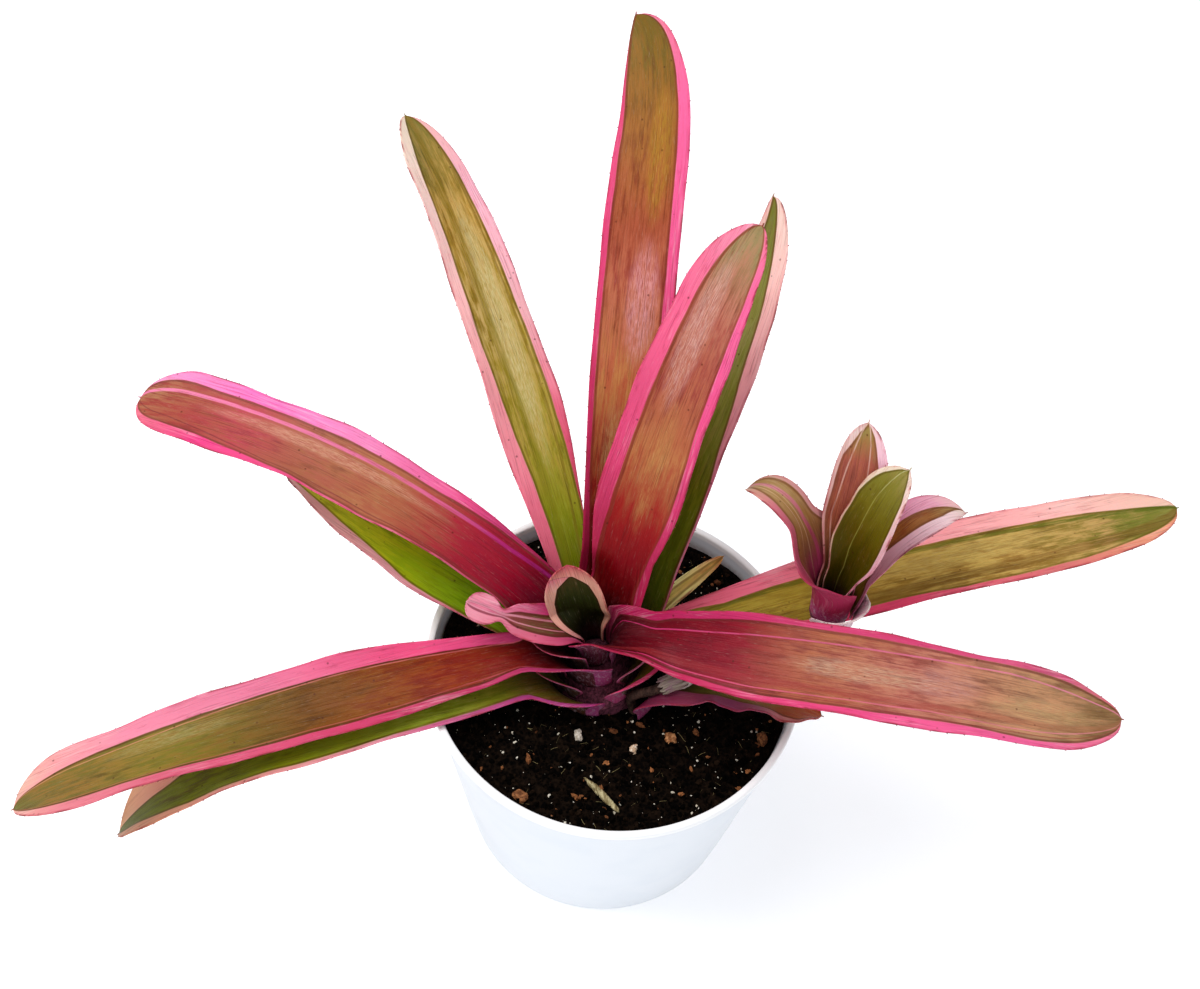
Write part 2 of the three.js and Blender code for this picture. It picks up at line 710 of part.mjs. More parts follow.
// Papery scale that clasps the runner between two shares of its length and stands off it at its tip.
function scale(from, to, facing, reach) {
  const rows = 5;
  const cells = 6;
  const grid = [];
  for (let i = 0; i <= rows; i++) {
    const f = i / rows;
    const c = runnerPath.getPointAt(mix(from, to, f));
    const along = runnerPath.getTangentAt(mix(from, to, f));
    const side = along.clone().cross(new THREE.Vector3(0, 0, 1)).normalize();
    const up = side.clone().cross(along);
    const r = RUNNER_RADIUS + GAP + MARGIN_THICKNESS / 2 + 0.1 + 1.6 * f ** 2;
    const wrap = rad(reach) * Math.sqrt(Math.max(1 - f ** 2.2, 0.01));
    const row = [];
    for (let j = 0; j <= cells; j++) {
      const a = rad(facing) + wrap * ((2 * j) / cells - 1);
      row.push(c.clone().addScaledVector(side, r * Math.cos(a)).addScaledVector(up, r * Math.sin(a)));
    }
    grid.push(row);
  }
  return plate(grid, () => MARGIN_THICKNESS);
}
add("runner_bract_low", scale(0.26, 0.44, 60, 90), 0xb7a596, 0.8);
add("runner_bract_high", scale(0.5, 0.68, 60, 95), 0xb7a596, 0.8);

export default plant;
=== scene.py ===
"""Potted bromeliad: the detailed leaves, pot, soil and runner that are fitted over the fixed CAD frame.

Metres, +Z up. The origin is the middle of the pot's underside. Sizes in the plans are millimetres.
"""

import json
import logging
import math
from collections.abc import Callable
from dataclasses import dataclass, field
from enum import Enum

import bmesh
import bpy
import numpy as np
from bpy.types import Material, Mesh, NodeSocket, Object
from mathutils import Matrix, Vector, noise


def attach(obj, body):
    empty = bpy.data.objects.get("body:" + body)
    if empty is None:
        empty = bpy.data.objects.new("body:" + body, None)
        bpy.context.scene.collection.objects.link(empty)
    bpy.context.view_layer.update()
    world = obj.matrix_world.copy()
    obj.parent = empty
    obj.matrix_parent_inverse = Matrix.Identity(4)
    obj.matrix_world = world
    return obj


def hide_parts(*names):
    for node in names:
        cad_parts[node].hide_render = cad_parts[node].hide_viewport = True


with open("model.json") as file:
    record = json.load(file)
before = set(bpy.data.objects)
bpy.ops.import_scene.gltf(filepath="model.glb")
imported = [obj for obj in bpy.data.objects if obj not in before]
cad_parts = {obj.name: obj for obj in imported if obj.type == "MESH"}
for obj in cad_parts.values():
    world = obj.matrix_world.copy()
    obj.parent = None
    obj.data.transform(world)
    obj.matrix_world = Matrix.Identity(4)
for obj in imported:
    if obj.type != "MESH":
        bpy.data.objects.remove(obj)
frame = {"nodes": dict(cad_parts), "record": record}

log = logging.getLogger("bromeliad")
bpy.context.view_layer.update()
MM = 0.001
TURN = 2 * math.pi
FULL_TURN = 6.283  # upper limit of a random turn
MERGE = 1e-6  # metres within which doubled points are one

Stops = tuple[tuple[float, str], ...]
Track = tuple[tuple[float, float], ...]
Amount = float | np.ndarray


class Face(Enum):
    """Which side of a blade a point lies on, as stored in leaf_share."""

    UPPER = 1
    UNDER = -1


class Side(Enum):
    """Which half of a blade a margin lies on."""

    RIGHT = 1
    LEFT = -1


class Tint(str, Enum):
    """Colours that all blades share."""

    # Dark red of the blades' bases: partly the sheath's own colour, partly painted shade deep in the rosette.
    DARK_BASE_AND_SHADE = "#3a0c16"
    SHEATH_UNDER = "#5a3034"
    SHEATH_MAUVE = "#b4588c"
    WAX = "#ffe4e6"
    CRIMSON = "#a81040"
    RIM_FLUSH = "#b8284c"
    RIM_BROWN = "#7d4034"
    HAIR = "#6c4a3c"
    FROST = "#e8cfc0"
    BLOTCH = "#5c1a1c"
    DOT = "#4c1f16"
    SCURF = "#cbb6c0"


def mix(a: Amount, b: Amount, f: Amount) -> Amount:
    """Value between a and b at share f; numbers or arrays."""
    return a + (b - a) * f


def smooth(x: Amount, a: float, b: float) -> Amount:
    """Eased step from 0 at a to 1 at b; a number or an array."""
    f = np.clip((x - a) / (b - a), 0.0, 1.0)
    return f * f * (3 - 2 * f)


def unit(v: np.ndarray) -> np.ndarray:
    """Vectors of length 1."""
    return v / np.maximum(np.linalg.norm(v, axis=-1, keepdims=True), 1e-9)


def sampled(at: np.ndarray, places: np.ndarray, values: np.ndarray) -> np.ndarray:
    """Values known at places, read between them."""
    if values.ndim == 1:
        return np.interp(at, places, values)
    return np.stack([np.interp(at, places, values[:, k]) for k in range(values.shape[1])], -1)


def linear(colour: str) -> tuple[float, float, float, float]:
    """Scene-linear colour of a "#rrggbb" one."""
    parts = [int(colour[i : i + 2], 16) / 255 for i in (1, 3, 5)]
    parts = [c / 12.92 if c <= 0.04045 else ((c + 0.055) / 1.055) ** 2.4 for c in parts]
    return (*parts, 1.0)


def tones(text: str) -> Stops:
    """Colour stops, written as pairs of a share and rrggbb."""
    words = text.split()
    return tuple((float(share), "#" + colour) for share, colour in zip(words[::2], words[1::2]))


def track(text: str) -> Track:
    """Places across a blade, written as pairs of a share of its length and a place from -1 to 1."""
    values = [float(word) for word in text.split()]
    return tuple(zip(values[::2], values[1::2]))


# Node trees


def add_node(
    tree: bpy.types.NodeTree, kind: str, settings: dict | None, inputs: dict | None, out: str
) -> NodeSocket:
    """Adds a node of any kind.

    Args:
        tree: the shader or Geometry Nodes tree.
        kind: the node's type.
        settings: its properties, or a ramp's "stops", set before its sockets.
        inputs: socket identifier to a value, a wire, a socket, or a list of sockets to join.
        out: identifier of the output to return, or "" for the first that is in use.

    Returns:
        The chosen output.
    """
    made = tree.nodes.new(kind)
    for key, value in (settings or {}).items():
        if key == "stops":
            fill_ramp(made.color_ramp, value)
        else:
            setattr(made, key, value)
    for key, value in (inputs or {}).items():
        socket = next(s for s in made.inputs if s.identifier == key)
        for item in value if isinstance(value, list) else [value]:
            item = item.socket if isinstance(item, Wire) else item
            if isinstance(item, NodeSocket):
                tree.links.new(item, socket)
            else:
                socket.default_value = item
    return next(s for s in made.outputs if s.enabled and (not out or s.identifier == out))


def fill_ramp(ramp: bpy.types.ColorRamp, stops: tuple) -> None:
    """Sets a ramp's stops from (place, linear colour) pairs."""
    while len(ramp.elements) < len(stops):
        ramp.elements.new(1.0)
    for element, (place, colour) in zip(ramp.elements, stops):
        element.position, element.color = place, colour


def operator(operation: str, swapped: bool = False) -> Callable:
    """Method of Wire for one of Python's operators, as a Math node."""

    def method(self: "Wire", other: "Wire | float") -> "Wire":
        """The node's result."""
        first, second = (other, self) if swapped else (self, other)
        inputs = {"Value": first, "Value_001": second}
        return self.desk.node("ShaderNodeMath", {"operation": operation}, inputs)

    return method


class Wire:
    """A value or vector in a shader, with Python's operators as Math nodes."""

    def __init__(self, desk: "Desk", socket: NodeSocket) -> None:
        """Wraps one output socket of a desk's tree."""
        self.desk = desk
        self.socket = socket

    __add__ = __radd__ = operator("ADD")
    __mul__ = __rmul__ = operator("MULTIPLY")
    __sub__ = operator("SUBTRACT")
    __rsub__ = operator("SUBTRACT", swapped=True)
    __truediv__ = operator("DIVIDE")
    __pow__ = operator("POWER")

    def __abs__(self) -> "Wire":
        """Size without sign."""
        return self.desk.node("ShaderNodeMath", {"operation": "ABSOLUTE"}, {"Value": self})

    def step(self, low: float, high: float) -> "Wire":
        """Eased step from 0 at low to 1 at high."""
        if low > high:
            return 1 - self.step(high, low)
        inputs = {"Value": self, "From Min": low, "From Max": high}
        return self.desk.node("ShaderNodeMapRange", {"interpolation_type": "SMOOTHSTEP"}, inputs)


class Desk:
    """Builds one material's node tree."""

    def __init__(self, name: str) -> None:
        """Starts an empty material with its output."""
        self.material = bpy.data.materials.new(name)
        self.material.use_nodes = True
        self.tree = self.material.node_tree
        self.tree.nodes.clear()
        self.output = self.tree.nodes.new("ShaderNodeOutputMaterial")

    def node(
        self, kind: str, settings: dict | None = None, inputs: dict | None = None, out: str = ""
    ) -> Wire:
        """Adds any node, as add_node does."""
        return Wire(self, add_node(self.tree, kind, settings, inputs, out))

    def ramp(self, share: Wire, stops: Stops) -> Wire:
        """Colour at a share between named stops."""
        filled = tuple((place, linear(colour)) for place, colour in stops)
        return self.node("ShaderNodeValToRGB", {"stops": filled}, {"Fac": share}, "Color")

    def track(self, share: Wire, places: Track) -> Wire:
        """Place across a blade, -1 to 1, at a share of its length."""
        filled = tuple((s, (q / 2 + 0.5,) * 3 + (1.0,)) for s, q in places)
        return self.node("ShaderNodeValToRGB", {"stops": filled}, {"Fac": share}, "Color") * 2 - 1

    def blend(self, a: Wire | str, b: Wire | str, factor: Wire | float, mode: str = "MIX") -> Wire:
        """Mixes two colours.

        Args:
            a: first colour, a wire or a "#rrggbb".
            b: second colour.
            factor: share of the second.
            mode: the Mix node's blend type.

        Returns:
            The mixed colour.
        """
        a, b = (linear(c) if isinstance(c, str) else c for c in (a, b))
        settings = {"data_type": "RGBA", "blend_type": mode, "clamp_factor": True}
        inputs = {"Factor_Float": factor, "A_Color": a, "B_Color": b}
        return self.node("ShaderNodeMix", settings, inputs, "Result_Color")

    def layers(self, colour: Wire | str, *coats: tuple) -> Wire:
        """Lays coats of (colour, factor) or (colour, factor, mode) over a colour."""
        for coat in coats:
            colour = self.blend(colour, *coat)
        return colour

    def vector(self, x: Wire | float, y: Wire | float, z: Wire | float) -> Wire:
        """Vector of three values."""
        return self.node("ShaderNodeCombineXYZ", {}, {"X": x, "Y": y, "Z": z})

    def parts(self, vector: Wire) -> list[Wire]:
        """The three values of a vector."""
        made = self.tree.nodes.new("ShaderNodeSeparateXYZ")
        self.tree.links.new(vector.socket, made.inputs[0])
        return [Wire(self, s) for s in made.outputs]

    def attribute(self, name: str, out: str = "Vector") -> Wire:
        """What is stored on the mesh under a name."""
        return self.node("ShaderNodeAttribute", {"attribute_name": name}, {}, out)

    def place(self) -> Wire:
        """Position on the piece, in millimetres."""
        found = self.node("ShaderNodeTexCoord", {}, {}, "Object")
        return self.node("ShaderNodeVectorMath", {"operation": "SCALE"}, {"Vector": found, "Scale": 1 / MM})

    def noise(self, vector: Wire, scale: float = 1.0, detail: float = 2.0, rough: float = 0.5) -> Wire:
        """Soft noise about 0.5."""
        inputs = {"Vector": vector, "Scale": scale, "Detail": detail, "Roughness": rough}
        return self.node("ShaderNodeTexNoise", {}, inputs, "Fac")

    def cells(self, vector: Wire, scale: float = 1.0) -> Wire:
        """Distance to the nearest of scattered points."""
        return self.node("ShaderNodeTexVoronoi", {}, {"Vector": vector, "Scale": scale}, "Distance")

    def relief(self, height: Wire, depth_mm: float, strength: float = 1.0) -> Wire:
        """Normal of a surface with a fine relief."""
        inputs = {"Height": height, "Distance": depth_mm * MM, "Strength": strength}
        return self.node("ShaderNodeBump", {}, inputs)

    def finish(
        self, colour: Wire | str, roughness: Wire | float, normal: Wire | None = None,
        **constants: float | tuple,
    ) -> Material:
        """Ends the material in a Principled surface.

        Args:
            colour: base colour, a wire or a "#rrggbb".
            roughness: a value or a wire.
            normal: relief, if any.
            **constants: other sockets' own values, with _ for a space.

        Returns:
            The material.
        """
        colour = linear(colour) if isinstance(colour, str) else colour
        inputs = {"Base Color": colour, "Roughness": roughness}
        inputs |= {key.replace("_", " "): value for key, value in constants.items()}
        if normal is not None:
            inputs["Normal"] = normal
        surface = self.node("ShaderNodeBsdfPrincipled", {}, inputs)
        self.tree.links.new(surface.socket, self.output.inputs["Surface"])
        return self.material


# Finishes


@dataclass(frozen=True)
class Stripe:
    """A line that runs along a blade: its track, half width in mm, colours and strength."""

    track: Track
    width: float
    colours: Stops
    strength: float = 0.8


@dataclass(frozen=True)
class WaxAndSheenPatch:
    """A pale patch, partly the leaf's own waxy bloom and partly a painted sheen highlight: middle and reach
    along and across the blade, colour and strength.
    """

    along: float
    across: float
    reach: float
    spread: float
    colour: str
    strength: float = 0.5


@dataclass(frozen=True)
class LeafFinish:
    """Colours of a blade.

    centre and streak are the two tones of the middle; right and left are the margins on the +1 and -1
    side, which start at right_edge and left_edge. foot is how far up the dark base reaches, in mm; that
    base is partly the sheath's own dark red and partly painted shade of the rosette's heart.
    """

    centre: Stops
    streak: Stops
    right_edge: Track
    right: Stops
    left_edge: Track
    left: Stops
    line: str = "#6a3a20"
    stripes: tuple[Stripe, ...] = ()
    # Pale patches: partly waxy bloom, partly painted sheen highlights.
    wax_sheen_patches: tuple[WaxAndSheenPatch, ...] = ()
    under: str = "#7a5a4a"
    seed: float = 0.0
    gloss: float = 0.36
    foot: float = 26.0

    def material(self, name: str) -> Material:
        """Builds the blade's material.

        Args:
            name: the material's name.

        Returns:
            The material.
        """
        desk = Desk(name)
        along, across, face = desk.parts(desk.attribute("leaf_share"))
        run, off, half = desk.parts(desk.attribute("leaf_ruler"))

        def stretched(long: float, wide: float, shift: float, detail: float, rough: float = 0.5) -> Wire:
            """Noise drawn out along the blade."""
            spot = desk.vector(run * long, off * wide, self.seed + shift)
            return desk.noise(spot, 1.0, detail, rough)

        soft = stretched(0.03, 0.12, 0, 3.0)
        mottle = stretched(0.1, 0.42, 3, 5.0, 0.62)
        grain = stretched(0.1, 1.5, 7, 4.0, 0.62)
        fine = stretched(0.34, 3.2, 17, 3.0, 0.6)
        hair = stretched(0.05, 2.6, 15, 2.0, 0.6).step(0.5, 0.68)
        place = along + (soft - 0.5) * 0.14 + (mottle - 0.5) * 0.12 + (grain - 0.5) * 0.05
        colour = desk.layers(
            desk.ramp(place, self.centre),
            (desk.ramp(place, self.streak), (mottle * 0.65 + grain * 0.35).step(0.42, 0.58)),
            (self.line, (soft * 0.4 + mottle * 0.6).step(0.53, 0.66) * 0.42),
        )
        # Pale patches laid into the colour with flaky flecks: partly waxy bloom, partly painted sheen
        # highlight.
        for wax_sheen_patch in self.wax_sheen_patches:
            near = ((along - wax_sheen_patch.along) / wax_sheen_patch.reach) ** 2 + ((across - wax_sheen_patch.across) / wax_sheen_patch.spread) ** 2
            flaky = (fine * 0.65 + mottle * 0.35).step(0.43, 0.58)
            share = near.step(1.0, 0.1) * (flaky * 0.75 + 0.25) * wax_sheen_patch.strength
            colour = desk.blend(colour, wax_sheen_patch.colour, share)
        # Darker base up to foot: partly the sheath's own dark red, partly painted shade where the bases sit
        # deep in the rosette.
        sheath = run.step(self.foot, self.foot * 0.35)
        colour = desk.blend(colour, Tint.DARK_BASE_AND_SHADE, sheath * (mottle * 0.5 + 0.4))
        drift = (desk.noise(desk.vector(run * 0.07, across * 0.4, self.seed + 11)) - 0.5) * 0.7
        rim = half - abs(off)
        body = 1.0
        margins = ((Side.RIGHT, self.right_edge, self.right), (Side.LEFT, self.left_edge, self.left))
        for side, edge, colours in margins:
            way = side.value
            depth = (across * way - desk.track(along, edge) * way) * half + drift
            # Margin tone: partly the margins' own pink, partly painted light for the glow through the thin
            # margins.
            tone = desk.layers(
                desk.ramp(along + (soft - 0.5) * 0.12, colours),
                (Tint.WAX, (grain * 0.5 + soft * 0.5).step(0.52, 0.66) * 0.22),
                (Tint.CRIMSON, (grain * 0.6 + mottle * 0.4).step(0.47, 0.36) * 0.24),
                (Tint.RIM_FLUSH, rim.step(1.1, 0.2) * mottle.step(0.4, 0.6) * 0.5),
            )
            colour = desk.layers(
                colour,
                (self.line, (depth + 0.5).step(-0.5, 0.0) * depth.step(0.3, -0.2) * 0.6),
                (tone, depth.step(-0.12, 0.3)),
            )
            body = body * depth.step(0.3, -0.12)
        for stripe in self.stripes:
            away = abs((across - desk.track(along, stripe.track)) * half + drift * 0.6)
            mask = away.step(stripe.width * 1.3, stripe.width * 0.6) * stripe.strength
            share = mask * (grain.step(0.3, 0.5) * 0.6 + 0.4)
            colour = desk.blend(colour, desk.ramp(along, stripe.colours), share)
        dots = desk.cells(desk.vector(run * 0.19, off * 0.19, self.seed + 5), 1.0)
        flecks = stretched(1.6, 1.6, 9, 3.0).step(0.56, 0.72)
        scurf = stretched(0.35, 0.6, 19, 4.0, 0.7).step(0.5, 0.68)
        below = face.step(0.3, -0.3)
        low = run.step(self.foot * 1.2, self.foot * 0.5)
        colour = desk.layers(
            colour,
            (Tint.HAIR, hair * soft.step(0.36, 0.56) * 0.34, "MULTIPLY"),
            (Tint.FROST, (fine * 0.6 + grain * 0.4).step(0.55, 0.72) * 0.16),
            (Tint.BLOTCH, (mottle * 0.5 + fine * 0.5).step(0.44, 0.3) * 0.35),
            (Tint.RIM_BROWN, rim.step(0.5, 0.1) * mottle.step(0.5, 0.6) * 0.6),
            (Tint.DOT, dots.step(0.1, 0.03) * 0.6),
            (self.under, below * (body * 0.5 + 0.15)),
            (Tint.SHEATH_UNDER, sheath * below * body * mottle.step(0.35, 0.6) * 0.7),
            (Tint.SHEATH_MAUVE, sheath * below * (1 - body) * 0.6),
            (Tint.SCURF, (flecks + scurf) * low * (below * 0.5 + 0.05)),
        )
        veins = hair * -0.3 + fine * 0.5 + grain * 0.5 + stretched(0.9, 0.45, 13, 2.0) * soft * 0.8
        rough = self.gloss + (grain - 0.5) * 0.3 + (1 - face) * 0.06
        return desk.finish(
            colour, rough, desk.relief(veins, 0.22, 0.6), Subsurface_Weight=0.05, Subsurface_Scale=MM,
            Specular_IOR_Level=0.14,
        )


@dataclass(frozen=True)
class MouldedPlastic:
    """Thin moulded white plastic, with a faint soil stain inside just above the fill; the rim's top is a
    painted highlight, pure white.
    """

    base: str = "#e9edf2"
    cloud: str = "#dde4ec"
    # Painted highlight: pure white for the top of the rim.
    lip: str = "#ffffff"
    stain: str = "#9a8f86"
    soil_level: float = 90.2
    rim_highlight_from: float = 95.0
    inner_foot: float = 48.6
    taper: float = 0.128

    def material(self, name: str) -> Material:
        """Builds the plastic."""
        desk = Desk(name)
        place = desk.place()
        x, y, z = desk.parts(place)
        cloudy = desk.noise(place, 0.05, 3.0)
        inside = ((x * x + y * y) ** 0.5 - (z * self.taper + self.inner_foot)).step(0.35, 0.0)
        dust = (z - self.soil_level).step(3.4, 0.2) * (desk.noise(place, 0.9, 3.0) + 0.15)
        colour = desk.layers(
            self.base,
            (self.cloud, cloudy.step(0.45, 0.7) * 0.3),
            # Painted highlight: the rim's top is painted pure white.
            (self.lip, (z - self.rim_highlight_from).step(0.0, 1.2)),
            (self.stain, inside * dust * 0.7),
        )
        scuff = desk.noise(desk.vector(x * 0.5, y * 0.5, z * 3.0), 1.0, 2.0)
        rough = 0.3 + scuff * 0.12 + inside * 0.2
        return desk.finish(colour, rough, desk.relief(scuff + cloudy * 2, 0.02, 0.5))


@dataclass(frozen=True)
class PottingSoil:
    """Near-black damp peat; loose crumbs carry their own tint."""

    dark: str = "#030202"
    light: str = "#2e2117"

    def material(self, name: str, loose: bool = False) -> Material:
        """Builds the soil.

        Args:
            name: the material's name.
            loose: whether each crumb has its own tint.

        Returns:
            The material.
        """
        desk = Desk(name)
        place = desk.place()
        coarse = desk.noise(place, 0.35, 4.0, 0.65)
        grains = desk.cells(place, 0.9)
        share = (coarse * 0.8 + grains * 0.3).step(0.35, 0.95)
        if loose:
            share = desk.attribute("tint", "Fac") ** 6 * 0.9 + share * 0.12
        colour = desk.blend(self.dark, self.light, share)
        relief = desk.relief(coarse + grains, 0.5)
        return desk.finish(colour, 0.85 - share * 0.1, relief, Specular_IOR_Level=0.06)


@dataclass(frozen=True)
class Speckled:
    """A rough bit of bark, wood or mineral: its colour, a second one and the length of its grain."""

    base: str
    second: str
    stretch: float = 1.0
    own_tint: bool = False
    pits: str = "#2a1c14"

    def material(self, name: str) -> Material:
        """Builds the finish."""
        desk = Desk(name)
        x, y, z = desk.parts(desk.place())
        place = desk.vector(x, y / self.stretch, z)
        spots = desk.noise(place, 0.8, 4.0, 0.65)
        share = spots.step(0.38, 0.66)
        if self.own_tint:
            share = desk.attribute("tint", "Fac") * 0.8 + share * 0.3
        colour = desk.layers(
            self.base, (self.second, share), (self.pits, desk.cells(place, 0.7).step(0.2, 0.05) * 0.6)
        )
        relief = desk.relief(spots + desk.cells(place, 1.6) * 0.6, 0.4)
        return desk.finish(colour, 0.8, relief, Specular_IOR_Level=0.3)


@dataclass(frozen=True)
class PaperyScale:
    """Thin dry scale with fine ribs: body colour, ribs, blush and pale edge."""

    base: str = "#a8998a"
    rib: str = "#4e3a32"
    blush: str = "#a5858a"
    edge: str = "#efe6dc"
    seed: float = 0.0

    def material(self, name: str) -> Material:
        """Builds the scale's finish."""
        desk = Desk(name)
        run, off, _ = desk.parts(desk.attribute("leaf_ruler"))
        along, across, _ = desk.parts(desk.attribute("leaf_share"))
        ribs = desk.noise(desk.vector(run * 0.05, off * 2.4, self.seed), 1.0, 2.0)
        cloudy = desk.noise(desk.vector(run * 0.25, off * 0.3, self.seed + 4), 1.0, 3.0)
        colour = desk.layers(
            self.base,
            (self.blush, cloudy.step(0.4, 0.65)),
            (self.rib, ribs.step(0.52, 0.68) * 0.75),
            (self.edge, along.step(0.6, 1.0) * 0.35 + abs(across).step(0.7, 1.0) * 0.25),
        )
        return desk.finish(colour, 0.62, desk.relief(ribs + cloudy * 0.4, 0.3), Specular_IOR_Level=0.35)


# Margin pinks are partly the margins' own pale pink, partly painted light: lightened to stand in for light
# shining through the thin margins.
PINK = tones("0 7c1030  .25 bc3058  .5 e05480  .8 ea6c90  1 ee90a8")
HOT_PINK = tones("0 6c0828  .22 b82c58  .5 e25084  .85 ec6c9c  1 e88098")
PALE_PINK = tones("0 a44460  .3 dc8092  .6 f0b0b2  1 f2c8bc")
